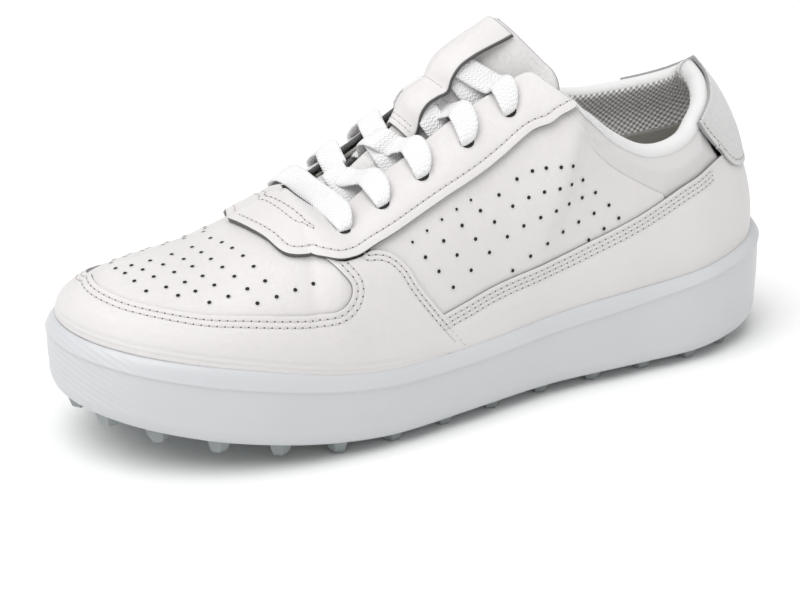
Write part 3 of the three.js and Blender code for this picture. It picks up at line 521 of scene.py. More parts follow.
def newTree(name, inputs):
    tree = bpy.data.node_groups.new(name, "GeometryNodeTree")
    tree.interface.new_socket("Geometry", in_out="INPUT", socket_type="NodeSocketGeometry")
    for label, kind in inputs:
        tree.interface.new_socket(label, in_out="INPUT", socket_type=kind)
    tree.interface.new_socket("Geometry", in_out="OUTPUT", socket_type="NodeSocketGeometry")
    return tree, tree.nodes.new("NodeGroupInput"), tree.nodes.new("NodeGroupOutput")


def turned(tree, axis, along, before=None, pivot="AUTO"):
    inputs = {"Vector": along}
    if before is not None:
        inputs["Rotation"] = before
    return node(tree, "FunctionNodeAlignRotationToVector", inputs, axis=axis, pivot_axis=pivot).outputs[0]


def placed(tree, points, shape, rotation, scale, material, chosen=None):
    inputs = {"Points": points, "Instance": shape, "Rotation": rotation, "Scale": scale}
    if chosen is not None:
        inputs["Selection"] = chosen
    copies = node(tree, "GeometryNodeInstanceOnPoints", inputs).outputs[0]
    real = node(tree, "GeometryNodeRealizeInstances", {0: copies}).outputs[0]
    return node(tree, "GeometryNodeSetMaterial", {"Geometry": real, "Material": material}).outputs[0]


def joined(tree, out, *parts):
    join = tree.nodes.new("GeometryNodeJoinGeometry")
    for part in reversed(parts):
        tree.links.new(part, join.inputs[0])
    tree.links.new(join.outputs[0], out.inputs[0])


def named(tree, label):
    return node(tree, "GeometryNodeInputNamedAttribute", {"Name": label}, data_type="FLOAT_VECTOR").outputs[0]


# a thread seam along each line: a stitch on every second point, and between them a dark bead of painted shade
# for the needle hole
def seamTree():
    tree, given, out = newTree("threadSeam", [
        ("Pitch", "NodeSocketFloat"), ("Length", "NodeSocketFloat"), ("Thickness", "NodeSocketFloat"),
        ("Thread", "NodeSocketMaterial"), ("Needle shade", "NodeSocketMaterial")])
    lines = node(tree, "GeometryNodeMeshToCurve", {0: given.outputs["Geometry"]}).outputs[0]
    half = maths(tree, "MULTIPLY", given.outputs["Pitch"], 0.5)
    points = node(tree, "GeometryNodeResampleCurve", {"Curve": lines, "Length": half},
                  mode="LENGTH").outputs[0]
    tangent = tree.nodes.new("GeometryNodeInputTangent").outputs[0]
    lean = turned(tree, "X", tangent)
    stand = turned(tree, "Z", named(tree, "outward"), before=lean, pivot="X")
    odd = maths(tree, "MODULO", tree.nodes.new("GeometryNodeInputIndex").outputs[0], 2.0)
    even = maths(tree, "SUBTRACT", 1.0, odd)
    bead = node(tree, "GeometryNodeMeshUVSphere", {"Segments": 8, "Rings": 5, "Radius": 0.5}).outputs[0]
    thickness = given.outputs["Thickness"]
    size = node(tree, "ShaderNodeCombineXYZ", {
        0: given.outputs["Length"], 1: thickness, 2: thickness}).outputs[0]
    thread = placed(tree, points, bead, stand, size, given.outputs["Thread"], even)
    spot = node(tree, "ShaderNodeCombineXYZ", {
        0: maths(tree, "MULTIPLY", thickness, 1.15), 1: thickness,
        2: maths(tree, "MULTIPLY", thickness, 0.35)}).outputs[0]
    # needle holes: dark beads of painted shade
    holes = placed(tree, points, bead, stand, spot, given.outputs["Needle shade"], odd)
    joined(tree, out, thread, holes)
    return tree


# a punched hole: a dark disc of painted shade inside a low rolled lip
def punchTree():
    tree, given, out = newTree("punchedHoles", [
        ("Radius", "NodeSocketFloat"), ("Lip", "NodeSocketFloat"),
        ("Dark", "NodeSocketMaterial"), ("Hide", "NodeSocketMaterial")])
    points = given.outputs["Geometry"]
    stand = turned(tree, "Z", named(tree, "outward"))
    disc = node(tree, "GeometryNodeMeshUVSphere", {"Segments": 14, "Rings": 6, "Radius": 1.0}).outputs[0]
    radius = given.outputs["Radius"]
    flat = node(tree, "ShaderNodeCombineXYZ", {
        0: radius, 1: radius, 2: maths(tree, "MULTIPLY", radius, 0.16)}).outputs[0]
    # the disc is near-black painted shade where the hole is
    dark = placed(tree, points, disc, stand, flat, given.outputs["Dark"])
    wide = maths(tree, "ADD", radius, given.outputs["Lip"])
    ring, wire = (node(tree, "GeometryNodeCurvePrimitiveCircle", {
        "Resolution": count, "Radius": size}).outputs[0]
        for count, size in ((14, wide), (6, given.outputs["Lip"])))
    lip = node(tree, "GeometryNodeCurveToMesh", {0: ring, 1: wire}).outputs[0]
    lips = placed(tree, points, lip, stand, (1, 1, 0.55), given.outputs["Hide"])
    joined(tree, out, dark, lips)
    return tree


# six-sided lugs: a tapered nub with a chamfered tip on each point, as tall as its "size" says
def lugTree():
    tree, given, out = newTree("lugs", [("Root", "NodeSocketFloat"), ("Tip", "NodeSocketFloat"),
                                        ("Chamfer", "NodeSocketFloat"), ("Tread", "NodeSocketMaterial")])
    tipHeight = 0.12    # of a body 1 high
    body = node(tree, "GeometryNodeMeshCone", {
        "Vertices": 6, "Side Segments": 2, "Fill Segments": 1, "Radius Top": given.outputs["Root"],
        "Radius Bottom": given.outputs["Tip"], "Depth": 1.0}).outputs[0]
    lifted = node(tree, "GeometryNodeTransform", {
        "Geometry": body, "Translation": (0, 0, tipHeight)}).outputs[0]
    foot = maths(tree, "SUBTRACT", given.outputs["Tip"], given.outputs["Chamfer"])
    tip = node(tree, "GeometryNodeMeshCone", {
        "Vertices": 6, "Radius Top": given.outputs["Tip"], "Radius Bottom": foot,
        "Depth": tipHeight}).outputs[0]
    lug = tree.nodes.new("GeometryNodeJoinGeometry")
    for part in (lifted, tip):
        tree.links.new(part, lug.inputs[0])
    turn = node(tree, "FunctionNodeEulerToRotation", {0: named(tree, "turn")}).outputs[0]
    size = named(tree, "size")
    real = placed(tree, given.outputs["Geometry"], lug.outputs[0], turn, size, given.outputs["Tread"])
    joined(tree, out, real)
    return tree


trees = {"seam": seamTree(), "punch": punchTree(), "lugs": lugTree()}


# runs a tree on points (mm) with vector attributes, and returns the plain mesh object that it makes
def runTree(name, kind, points, edges, vectors, values):
    mesh = bpy.data.meshes.new(name)
    mesh.from_pydata((np.asarray(points) * mm).tolist(), edges, [])
    for key, data in vectors.items():
        attribute = mesh.attributes.new(key, "FLOAT_VECTOR", "POINT")
        attribute.data.foreach_set("vector", np.asarray(data, float).ravel())
    source = bpy.data.objects.new(name + "Points", mesh)
    bpy.context.scene.collection.objects.link(source)
    modifier = source.modifiers.new("repeat", "NODES")
    modifier.node_group = trees[kind]
    for item in trees[kind].interface.items_tree:
        if item.in_out == "INPUT" and item.name in values:
            modifier[item.identifier] = values[item.name]
    result = source.evaluated_get(bpy.context.evaluated_depsgraph_get())
    made = bpy.data.meshes.new_from_object(result)
    made.name = name
    bpy.data.objects.remove(source)
    piece = bpy.data.objects.new(name, made)
    bpy.context.scene.collection.objects.link(piece)
    return piece


# panels of the upper

def resampled(line, gap):
    run = np.r_[0, np.cumsum(np.linalg.norm(np.diff(line, axis=0), axis=1))]
    count = max(int(run[-1] / gap), 2)
    t = np.linspace(0, run[-1], count + 1)
    return np.stack([np.interp(t, run, line[:, k]) for k in range(3)], -1)


def distanceTo(points, line):
    line = resampled(line, 0.25)
    tree = kdtree.KDTree(len(line))
    for i, point in enumerate(line):
        tree.insert(point, i)
    tree.balance()
    flat = points.reshape(-1, 3)
    return np.array([tree.find(point)[2] for point in flat.tolist()]).reshape(points.shape[:-1])


panelGrid = {
    "along": 1.25,       # spacing along a panel, mm
    "across": 1.6,       # spacing in its middle
    # distances from an edge that get their own row, so that the roll and the seams are crisp
    "edgeRows": (0, 0.12, 0.3, 0.55, 0.85, 1.2, 1.6, 2.0, 2.4, 2.8, 3.2, 3.6, 4.0, 4.5, 5.0, 5.6, 6.3),
    "roll": 0.75,        # radius of a folded or skived edge
    "groove": 0.22,      # how far a seam pulls the leather in, and over what width
    "grooveWidth": 0.75,
    "threadRise": 0.05,  # thread above the leather
}
seamLines = []    # (points, outward) of every thread seam on the fixed body


def gridOf(spec):
    lowEdge = spline([(i / (len(spec["low"]) - 1), *knot) for i, knot in enumerate(spec["low"])])
    highEdge = spline([(i / (len(spec["high"]) - 1), *knot) for i, knot in enumerate(spec["high"])])
    coarse = np.linspace(0, 1, 60)
    middle = (lowEdge(coarse) + highEdge(coarse)) / 2
    line = surfacePoint(middle[:, 0], middle[:, 1])
    rows = int(np.linalg.norm(np.diff(line, axis=0), axis=1).sum() / panelGrid["along"]) + 2
    s = np.linspace(0, 1, rows)
    low, high = lowEdge(s), highEdge(s)
    t = np.linspace(0, 1, 49)
    u = low[:, :1] + (high[:, :1] - low[:, :1]) * t
    v = low[:, 1:] + (high[:, 1:] - low[:, 1:]) * t
    points = surfacePoint(np.clip(u, 0, 1), v)
    steps = np.linalg.norm(np.diff(points, axis=1), axis=2)
    run = np.concatenate([np.zeros((rows, 1)), np.cumsum(steps, axis=1)], 1)
    near = np.array(panelGrid["edgeRows"])
    inner = max(int((run[:, -1].max() - 2 * near[-1]) / panelGrid["across"]), 3)
    shares = []
    for i in range(rows):
        total = run[i, -1]
        band = near * min(1, 0.42 * total / near[-1])
        wanted = np.r_[band, np.linspace(band[-1], total - band[-1], inner + 2)[1:-1], (total - band)[::-1]]
        shares.append(np.interp(wanted, run[i], t))
    shares = np.array(shares)
    u = np.clip(low[:, :1] + (high[:, :1] - low[:, :1]) * shares, 0, 1)
    v = np.minimum(low[:, 1:] + (high[:, 1:] - low[:, 1:]) * shares, 1)
    return u, v


# the part of a row where the distance from an edge first reaches the wanted one
def alongRow(distance, wanted, values):
    k = int(np.argmax(distance > wanted))
    if k == 0:
        return None
    share = (wanted - distance[k - 1]) / (distance[k] - distance[k - 1])
    return [value[k - 1] + share * (value[k] - value[k - 1]) for value in values]


def panel(name, spec, material):
    u, v = gridOf(spec)
    # the two sides are one skin along the ridge
    joint = (v > 1 - 1e-4) & (u >= upper["ridgeStart"] + upper["step"])
    rims = {"low": joint[:, 0], "high": joint[:, -1], "start": joint[0], "end": joint[-1]}
    parts = []
    openEdges = spec.get("open", ("low", "high", "start", "end"))
    for side in (1, -1):
        flat = below(side * u, v, spec["depth"])
        lines = {"low": flat[:, 0], "high": flat[:, -1], "start": flat[0], "end": flat[-1]}
        distance = {key: distanceTo(flat, lines[key][~rims[key]]) for key in openEdges}
        nearest = np.minimum.reduce(list(distance.values()))
        depth = np.full(u.shape, float(spec["depth"]))
        radius = spec.get("roll", panelGrid["roll"])
        bend = np.clip(radius - nearest, 0, None)
        depth += radius - np.sqrt(np.clip(radius**2 - bend**2, 0, None))
        puff, reach = spec.get("puff", (0.0, 6.0))
        depth -= puff * (1 - np.exp(-(nearest / reach)**2))
        for edge, away, *_ in spec.get("seams", ()):
            depth += panelGrid["groove"] * np.exp(-((distance[edge] - away) / panelGrid["grooveWidth"])**2)
        outer = below(side * u, v, depth)
        inner = below(side * u, v, spec["depth"] + spec.get("thick", 1.3))
        rows, columns = u.shape
        for edge, away, first, last in spec.get("seams", ()):
            points, normals = [], []
            steps = range(rows) if edge in ("low", "high") else range(columns)
            for i in steps:
                if not first <= i / (len(steps) - 1) <= last:
                    continue
                pick = (i, slice(None)) if edge in ("low", "high") else (slice(None), i)
                row = [distance[edge][pick], u[pick], v[pick], depth[pick]]
                if edge in ("high", "end"):
                    row = [value[::-1] for value in row]
                found = alongRow(row[0], away, row[1:])
                if found is not None:
                    points.append(below(side * found[0], found[1], found[2] - panelGrid["threadRise"]))
                    normals.append(surfaceNormal(side * found[0], found[1]))
            if len(points) > 2:
                seamLines.append((np.array(points), np.array(normals)))
        if side < 0:
            outer, inner = outer[::-1], inner[::-1]
            swap = {"start": "end", "end": "start"}
            edges = tuple(swap.get(key, key) for key in openEdges)
            seam = joint[::-1].ravel()
        else:
            edges = openEdges
            seam = joint.ravel()
        # rows run up the surface, so the first side's faces already point outwards
        parts.append(shell(outer, inner, {"cut": np.zeros(u.shape)}, edges, seam))
    return makeMesh(name, parts, [material])


guardRear = [(0.640, 0.520), (0.618, 0.44), (0.596, 0.34), (0.574, 0.236), (0.505, -0.01)]
panels = {
    "vampLeather": {
        "nodes": ("vamp",), "slot": "leather", "finish": "hide",
        "low": [(0.66, 0.5), (0.648, 0.363), (0.65, 0.25), (0.689, 0.19), (0.731, 0.21), (0.784, 0.26),
                (0.838, 0.32), (0.885, 0.38), (0.925, 0.46), (1, 0.6)],
        "high": [(0.676, 0.6), (0.695, 0.64), (0.71, 0.7), (0.722, 0.8), (0.735, 0.9), (0.75, 1), (0.81, 1),
                 (0.88, 1), (0.94, 1), (1, 1)],
        "depth": 1.1, "open": ("low", "high", "start"), "roll": 0.01,
    },
    "toeGuardLeather": {
        "nodes": ("toe_guard",), "slot": "leather", "finish": "guard",
        "low": guardRear + [(0.56, -0.01), (0.63, -0.01), (0.70, -0.01), (0.79, -0.01), (0.89, -0.01),
                            (1, -0.01)],
        "high": [(0.69, 0.545), (0.678, 0.525), (0.669, 0.477), (0.656, 0.363), (0.662, 0.276),
                 (0.689, 0.236), (0.731, 0.256), (0.784, 0.314), (0.838, 0.381), (0.9, 0.47), (1, 0.667)],
        "depth": 0.0, "roll": 0.35, "open": ("low", "high", "start"), "puff": (0.4, 9),
        "seams": (("high", 2.0, 0.05, 1), ("high", 4.2, 0.05, 1), ("low", 1.7, 0, 0.4), ("low", 3.6, 0, 0.4)),
    },
    "facingLeather": {
        "nodes": ("eyestay",), "slot": "leather", "finish": "hide",
        "low": [(0.430, 1), (0.450, 0.875), (0.473, 0.759), (0.515, 0.66), (0.556, 0.582), (0.611, 0.527),
                (0.645, 0.532), (0.667, 0.538), (0.690, 0.512), (0.720, 0.563), (0.741, 0.719), (0.762, 0.87),
                (0.779, 1)],
        "high": [(u, 1) for u in (0.43, 0.46, 0.49, 0.52, 0.56, 0.6, 0.63, 0.655, 0.67, 0.68, 0.69, 0.779)],
        "depth": -1.4, "thick": 2.0, "roll": 0.3, "open": ("low", "high"), "puff": (0.3, 8),
        "seams": (("low", 3.4, 0.03, 0.97),),
    },
    "sideLeather": {
        "nodes": ("side_panel_outer", "side_panel_inner"), "slot": "leather", "finish": "hide",
        "low": [(0.56, 0.06), (0.47, 0.17), (0.4, 0.25), (0.34, 0.34), (0.3, 0.44), (0.25, 0.55)],
        "high": [(0.65, 0.58), (0.556, 0.66), (0.455, 0.89), (0.382, 0.83), (0.31, 0.75), (0.258, 0.65)],
        "depth": 1.15, "roll": 0.5, "puff": (0.2, 14),
    },
    "heelLeather": {
        "nodes": ("heel_foxing",), "slot": "leather", "finish": "guard",
        "low": [(0, -0.01), (0.08, -0.01), (0.14, -0.01), (0.21, -0.01), (0.27, -0.01), (0.35, -0.01),
                (0.43, -0.01), (0.535, -0.01)],
        "high": [(0, 0.46), (0.055, 0.50), (0.105, 0.64), (0.2, 0.682), (0.259, 0.617), (0.351, 0.401),
                 (0.421, 0.269), (0.565, 0.12)],
        "depth": 0.1, "roll": 0.35, "open": ("low", "high", "end"), "puff": (0.4, 10),
        "seams": (("high", 2.0, 0.36, 1), ("high", 3.8, 0.36, 1), ("high", 5.6, 0.36, 1)),
    },
    "collarLeather": {
        "nodes": ("collar_panel_outer", "collar_panel_inner"), "slot": "leather", "finish": "softHide",
        "low": [(0.458, 0.86), (0.43, 0.80), (0.379, 0.79), (0.307, 0.712), (0.255, 0.62), (0.2, 0.64),
                (0.118, 0.64)],
        "high": [(0.462, 1), (0.42, 1), (0.38, 1), (0.33, 1), (0.27, 1), (0.21, 1), (0.145, 1)],
        "depth": 1.7, "puff": (2.6, 7.5), "roll": 0.6,
    },
    "heelTabSuede": {
        "nodes": ("heel_tab",), "slot": "suede", "finish": "suede",
        "low": [(0, 0.375), (0.05, 0.415), (0.092, 0.5), (0.111, 0.593), (0.122, 0.698)],
        "high": [(0, 1), (0.05, 1), (0.1, 1), (0.135, 1), (0.167, 1)],
        "depth": -1.3, "thick": 1.6, "open": ("low", "high", "end"), "puff": (0.9, 9),
        "seams": (("end", 2.2, 0, 1), ("low", 2.2, 0, 1)),
    },
}


# the camera, the light and the floor

view = {
    "azimuth": 151.51, "elevation": 21.0, "distance": 0.7028, "target": (0, 0, 0.040), "lens": 81.5,
    "shiftX": -0.0375, "shiftY": -0.0369,
    "sky": 0.62, "sun": 2.1, "softness": 55, "sunFrom": (0.55, 0.22, 1.2), "floorHalf": 6.0,
}


def makeView():
    azimuth, elevation = math.radians(view["azimuth"]), math.radians(view["elevation"])
    back = Vector((math.sin(azimuth) * math.cos(elevation), -math.cos(azimuth) * math.cos(elevation),
                   math.sin(elevation)))
    camera = bpy.data.objects.new("camera", bpy.data.cameras.new("camera"))
    camera.data.lens = view["lens"]
    camera.data.sensor_width = 36
    camera.data.shift_x = view["shiftX"]
    camera.data.shift_y = view["shiftY"]
    camera.location = Vector(view["target"]) + back * view["distance"]
    camera.rotation_euler = (-back).to_track_quat("-Z", "Y").to_euler()
    bpy.context.scene.collection.objects.link(camera)
    bpy.context.scene.camera = camera
    light = bpy.data.lights.new("softbox", "SUN")
    light.energy = view["sun"]
    light.angle = math.radians(view["softness"])
    lamp = bpy.data.objects.new("softbox", light)
    lamp.rotation_euler = (-Vector(view["sunFrom"])).to_track_quat("-Z", "Y").to_euler()
    bpy.context.scene.collection.objects.link(lamp)
    world = bpy.data.worlds.new("studio")
    world.use_nodes = True
    world.node_tree.nodes["Background"].inputs[0].default_value = (1, 1, 1, 1)
    world.node_tree.nodes["Background"].inputs[1].default_value = view["sky"]
    bpy.context.scene.world = world
    bpy.context.scene.view_settings.view_transform = "Standard"
    half = view["floorHalf"]
    mesh = bpy.data.meshes.new("floor")
    corners = [(-half, -half, 0), (half, -half, 0), (half, half, 0), (-half, half, 0)]
    mesh.from_pydata(corners, [], [(0, 1, 2, 3)])
    material, tree, shader = newMaterial("paleFloor", 0.9)
    shader.inputs["Base Color"].default_value = (0.93, 0.93, 0.93, 1)
    mesh.materials.append(material)
    floor = bpy.data.objects.new("floor", mesh)
    bpy.context.scene.collection.objects.link(floor)


makeView()

for name, spec in panels.items():
    ride(panel(name, spec, finish[spec["finish"]]), spec["slot"], *spec["nodes"])
print("panels made, seams:", len(seamLines))


# sole unit: one moulded profile carried round the outline

def soleProfile():
    def under(h):
        return h[..., 0]

    def top(h):
        return h[..., 1]

    def rim(h):
        return h[..., 2]

    rows = [(None, lambda h: under(h) + 2), (4.7, lambda h: under(h) + 2), (4.6, lambda h: under(h) + 0.3),
            (4.4, under), (sole["edgeInset"], under)]
    for i in range(7):
        a = math.radians(90 * (i + 1) / 8)
        rows.append((sole["edgeInset"] - sole["edgeOut"] * math.sin(a),
                     lambda h, a=a: under(h) + sole["edgeUp"] * (1 - math.cos(a))))
    for i in range(sole["wallRows"]):
        share = i / (sole["wallRows"] - 1)
        rows.append((sole["lip"] * (1 - 0.55 * math.sin(math.pi * share)), lambda h, share=share: (
            under(h) + sole["wallStart"]
            + (top(h) - sole["lipHeight"] - 0.3 - under(h) - sole["wallStart"]) * share)))
    rows += [(0.3, lambda h: top(h) - sole["lipHeight"]), (0.0, lambda h: top(h) - sole["lipHeight"] + 0.25),
             (-0.05, lambda h: top(h) - 0.3), (0.12, lambda h: top(h) + 0.05)]
    for i in range(8):    # bevel up to the rim, slightly crowned
        share = (i + 1) / 9
        rows.append((0.12 + sole["bevelOut"] * share, lambda h, share=share: (
            top(h) + (rim(h) - 0.35 - top(h)) * (share + 0.12 * math.sin(math.pi * share)))))
    rows += [(3.1, lambda h: rim(h) - 0.12), (3.6, rim), (6.2, rim), (6.9, lambda h: rim(h) - 0.5),
             (sole["wall"], lambda h: rim(h) - 3), (sole["wall"], lambda h: under(h) + sole["floor"]),
             (None, lambda h: under(h) + sole["floor"])]
    return rows


def ringSurface(rows, around):
    u = np.linspace(-1, 1, around, endpoint=False)
    columns = []
    for inset, height in rows:
        plan = soleSpine(np.abs(u)) if inset is None else outline(u, inset)[0]
        columns.append(np.c_[plan, height(heights(plan[:, 0]))])
    return u, np.stack(columns, 1)


def makeSole():
    rows = soleProfile()
    u, points = ringSurface(rows, sole["around"])
    normal = outline(u)[1]
    # every third row low on the wall is drawn in, round the heel
    row = np.arange(len(rows))
    low = (row >= 8) & (row <= 18)
    heel = np.clip((sole["heelReach"] - np.abs(u)) / sole["heelFade"], 0, 1)
    wave = np.where(low & (row % 3 == 0), sole["heelLines"], 0)
    points[..., :2] -= normal[:, None] * (heel[:, None] * wave)[..., None]
    faces = [tuple(reversed(face)) for face in gridFaces(len(u), len(rows), closedRows=True)]
    piece = makeMesh("soleUnit", [(points, faces, {})], [finish["sole"]], sharp=38)
    ride(piece, "sole_rubber", "cupsole")


tread = {"plateTop": 1.7, "plateInset": 5, "plateBottom": 0.6, "plateChamfer": 0.3, "around": 220}
lug = {
    "root": 5.3, "tip": 3.4, "chamfer": 0.6, "height": 5.4, "embed": 0.4,
    "shapeHeight": 1.12,    # of the tree's lug with its tip
    "count": 30, "edgeInset": 9.2,    # round the edge
    "rows": (-22, 0, 22), "rowShift": 1, "stagger": 10, "rowPitch": 21, "first": -126, "last": 126,
    "clear": 16, "half": 30, "endHalf": 14, "endFrom": 112,
    "turn": 0.7,    # radians for each mm along the shoe, so that no two lie alike
}


def makeTread():
    plateRows = [(None, lambda h: h[..., 0] + tread["plateTop"]),
                 (tread["plateInset"], lambda h: h[..., 0] + tread["plateTop"]),
                 (tread["plateInset"], lambda h: h[..., 0] - tread["plateChamfer"]),
                 (tread["plateInset"] + 0.4, lambda h: h[..., 0] - tread["plateBottom"]),
                 (None, lambda h: h[..., 0] - tread["plateBottom"])]
    u, points = ringSurface(plateRows, tread["around"])
    faces = gridFaces(len(u), len(plateRows), closedRows=True)
    plate = makeMesh("treadPlate", [(points, faces, {})], [finish["tread"]], sharp=38)
    ride(plate, "outsole_rubber", "outsole")
    places = [tuple(outline(-1 + 2 * i / lug["count"], lug["edgeInset"])[0]) for i in range(lug["count"])]
    for x in range(lug["first"], lug["last"] + 1, lug["rowPitch"]):
        for k, row in enumerate(lug["rows"]):
            spot = (x + lug["stagger"] * (k % 2), row + lug["rowShift"])
            half = lug["endHalf"] if abs(spot[0]) > lug["endFrom"] else lug["half"]
            if abs(spot[1]) < half and all(math.dist(spot, other) > lug["clear"] for other in places):
                places.append(spot)
    places = np.array(places)
    under = heights(places[:, 0])[:, 0]
    bottom = np.maximum(under - lug["height"], 0)
    size = np.c_[np.full((len(places), 2), 1.0), (under + lug["embed"] - bottom) / lug["shapeHeight"] * mm]
    points = np.c_[places, bottom]
    turn = np.c_[np.zeros((len(places), 2)), places[:, 0] * lug["turn"]]
    lugs = runTree("lugs", "lugs", points, [], {"size": size, "turn": turn}, {
        "Root": lug["root"] * mm, "Tip": lug["tip"] * mm, "Chamfer": lug["chamfer"] * mm,
        "Tread": finish["tread"]})
    ride(lugs, "outsole_rubber")


makeSole()
makeTread()
print("sole made")


# lining, collar roll and footbed

lining = {
    "roll": 3.9, "rollEnd": 0.7, "fade": 0.10, "rollFrom": -25, "rollTo": 170,    # the padded roll
    "end": 0.452, "depth": 8.6, "gap": 0.8, "thickness": 0.8, "cushion": 1.4,
    "high": 0.93, "low": 0.5, "along": 240, "rollWidth": 11.0,
}
quarter = {
    "end": 0.66, "thickness": 0.8, "footDepth": 6.4,
    # how high the lining reaches and how deep it lies there, by u
    "top": ([0, 0.2, 0.3, 0.42, 0.5, 0.66], [0.66, 0.64, 0.66, 0.76, 0.97, 0.97]),
    "topDepth": ([0, 0.40, 0.5, 0.66], [9.3, 8.6, 3.4, 3.4]),
}


def makeCollarLining():
    u = np.linspace(-lining["end"], lining["end"], lining["along"])
    fade = np.clip((lining["end"] - np.abs(u)) / lining["fade"], 0, 1)
    size = lining["rollEnd"] + (lining["roll"] - lining["rollEnd"]) * fade**0.7
    top = surfacePoint(u, np.ones_like(u))
    out = surfaceNormal(u, np.full_like(u, 0.97))
    up = surfacePoint(u, np.ones_like(u)) - surfacePoint(u, np.full_like(u, 0.95))
    up /= np.linalg.norm(up, axis=1, keepdims=True)
    centre = top - out * (size + lining["gap"])[:, None] - up * (size * 0.55)[:, None]
    columns = []
    for angle in np.linspace(lining["rollFrom"], lining["rollTo"], 16):
        a = math.radians(angle)
        columns.append(centre + out * (size * math.cos(a))[:, None] + up * (size * math.sin(a))[:, None])
    last = columns[-1]
    for share in np.linspace(0.06, 1, 26):
        v = lining["high"] - (lining["high"] - lining["low"]) * share
        near = 2 * size + lining["gap"]
        cushion = lining["cushion"] * fade * math.sin(math.pi * min(share * 1.4, 1))
        wall = below(u, v, near + (lining["depth"] - near) * min(share * 3, 1) - cushion)
        columns.append(last + (wall - last) * min(share * 4, 1))
    points = np.stack(columns, 1)
    steps = np.linalg.norm(np.diff(points, axis=1), axis=2)
    across = np.concatenate([np.zeros((len(u), 1)), np.cumsum(steps, axis=1)], 1)
    along = np.r_[0, np.cumsum(np.linalg.norm(np.diff(points[:, 18], axis=0), axis=1))]
    route = np.stack([np.broadcast_to(along[:, None], across.shape), across, np.zeros_like(across)], -1)
    normals = np.cross(np.gradient(points, axis=1), np.gradient(points, axis=0))
    normals /= np.linalg.norm(normals, axis=2, keepdims=True) + 1e-9
    part = shell(points, points - normals * lining["thickness"], {"route": route})
    piece = makeMesh("collarLining", [part], [finish["mesh"], finish["rollCloth"]])
    values = np.zeros(len(piece.data.vertices) * 3)
    piece.data.attributes["route"].data.foreach_get("vector", values)
    crossed = values.reshape(-1, 3)[:, 1]
    for face in piece.data.polygons:
        if crossed[face.vertices[0]] < lining["rollWidth"]:
            face.material_index = 1
    ride(piece, "mesh_lining", "collar_lining", "collar_foam")


def makeQuarterLining():
    u = np.linspace(-quarter["end"], quarter["end"], 260)
    share = np.linspace(0, 1, 40)
    v = np.interp(np.abs(u), *quarter["top"])[:, None] * share
    inside = np.interp(np.abs(u), *quarter["topDepth"])
    rise = np.clip((share - 0.45) / 0.4, 0, 1)
    depth = quarter["footDepth"] + (inside - quarter["footDepth"])[:, None] * rise
    outer = below(u[:, None], v, depth)
    inner = below(u[:, None], v, depth - quarter["thickness"])
    part = shell(outer, inner, {"cut": np.zeros(v.shape)})
    ride(makeMesh("quarterLining", [part], [finish["lining"]]), "lining_leather",
         "quarter_lining_outer", "quarter_lining_inner")


# inset from the outline and drop below the footbed's height: under it, round its edge, into its dished top
footbed = {"rows": [(None, 4), (11.5, 4), (11.2, 2), (11.3, 0.6), (12.2, 0), (18, 0.4), (24, 1), (None, 1.2)],
           "around": 240}


def makeFootbed():
    rows = [(inset, lambda h, drop=drop: h[..., 3] - drop) for inset, drop in footbed["rows"]]
    u, points = ringSurface(rows, footbed["around"])
    faces = [tuple(reversed(face)) for face in gridFaces(len(u), len(rows), closedRows=True)]
    piece = makeMesh("footbed", [(points, faces, {"route": points})], [finish["footbed"]])
    ride(piece, "insole_cloth", "insole", body="footbed")


makeCollarLining()
makeQuarterLining()
makeFootbed()
print("lining made")


# tongue and keeper strap

tongue = {
    "line": [(0, 66, 74), (0.14, 54, 78.5), (0.26, 42, 84), (0.4, 29, 93), (0.55, 15, 103.5), (0.7, 1, 114.2),
             (0.84, -11, 125.5), (0.94, -22, 134.5), (1, -29, 140)],
    "arch": [(0, 0), (5, 3.2), (12, 12.9), (16, 19.3), (20, 23), (28, 29.5), (36, 35)],
    "halfWidth": [(0, 16), (0.3, 21), (0.7, 24), (0.85, 26.5), (1, 31)],
    "length": 125, "thickness": 4.0, "middle": -2, "edge": 1.9, "along": 150, "across": 96, "offset": -1,
    "cornerFall": 0.085, "cornerFrom": 0.55,    # the top edge falls away towards the sides
    "bendStart": (-0.014, 0, 0.110), "bendEnd": (-0.030, 0, 0.142),
}
strap = {
    "width": 19, "thickness": 1.5, "start": 0.545, "end": 0.985, "flatten": 0.09, "along": 190, "across": 40,
    "roll": 0.45,
    # three pressed lozenges
    "marks": (0.885, 0.92, 0.955), "markLength": 4.2, "markWidth": 3.4, "markDepth": 0.45,
    "stitchedAt": (0.563, 0.579, 0.735), "stitchInset": 2.2, "stitchSink": 0.1,
    "lift": [(0.54, 0.8), (0.58, 2.2), (0.62, 4.6), (0.66, 5.4), (0.70, 4.8), (0.735, 3.8), (0.77, 4.9),
             (0.82, 5.5), (0.87, 4.7), (0.92, 3.2), (0.96, 1.9), (1, 0.8)],
}
tongueLine, tongueArch = spline(tongue["line"]), spline(tongue["arch"])
tongueHalf, strapLift = spline(tongue["halfWidth"]), spline(strap["lift"])


def tonguePoint(s, y, lift):
    s, y, lift = np.broadcast_arrays(*(np.asarray(k, float) for k in (s, y, lift)))
    ahead, behind = tongueLine(np.minimum(s + 0.01, 1)), tongueLine(np.maximum(s - 0.01, 0))
    way = ahead - behind
    way /= np.linalg.norm(way, axis=-1, keepdims=True)
    normal = np.stack([way[..., 1], -way[..., 0]], -1)
    middle = tongueLine(s)
    slope = (tongueArch(np.abs(y) + 0.5)[..., 0] - tongueArch(np.abs(y))[..., 0]) * 2
    tilt = np.hypot(1, slope)
    fall = tongueArch(np.abs(y))[..., 0] - lift / tilt
    out = np.sign(y) * lift * slope / tilt
    return np.stack([middle[..., 0] - normal[..., 0] * fall, y + out + tongue["offset"],
                     middle[..., 1] - normal[..., 1] * fall], -1)


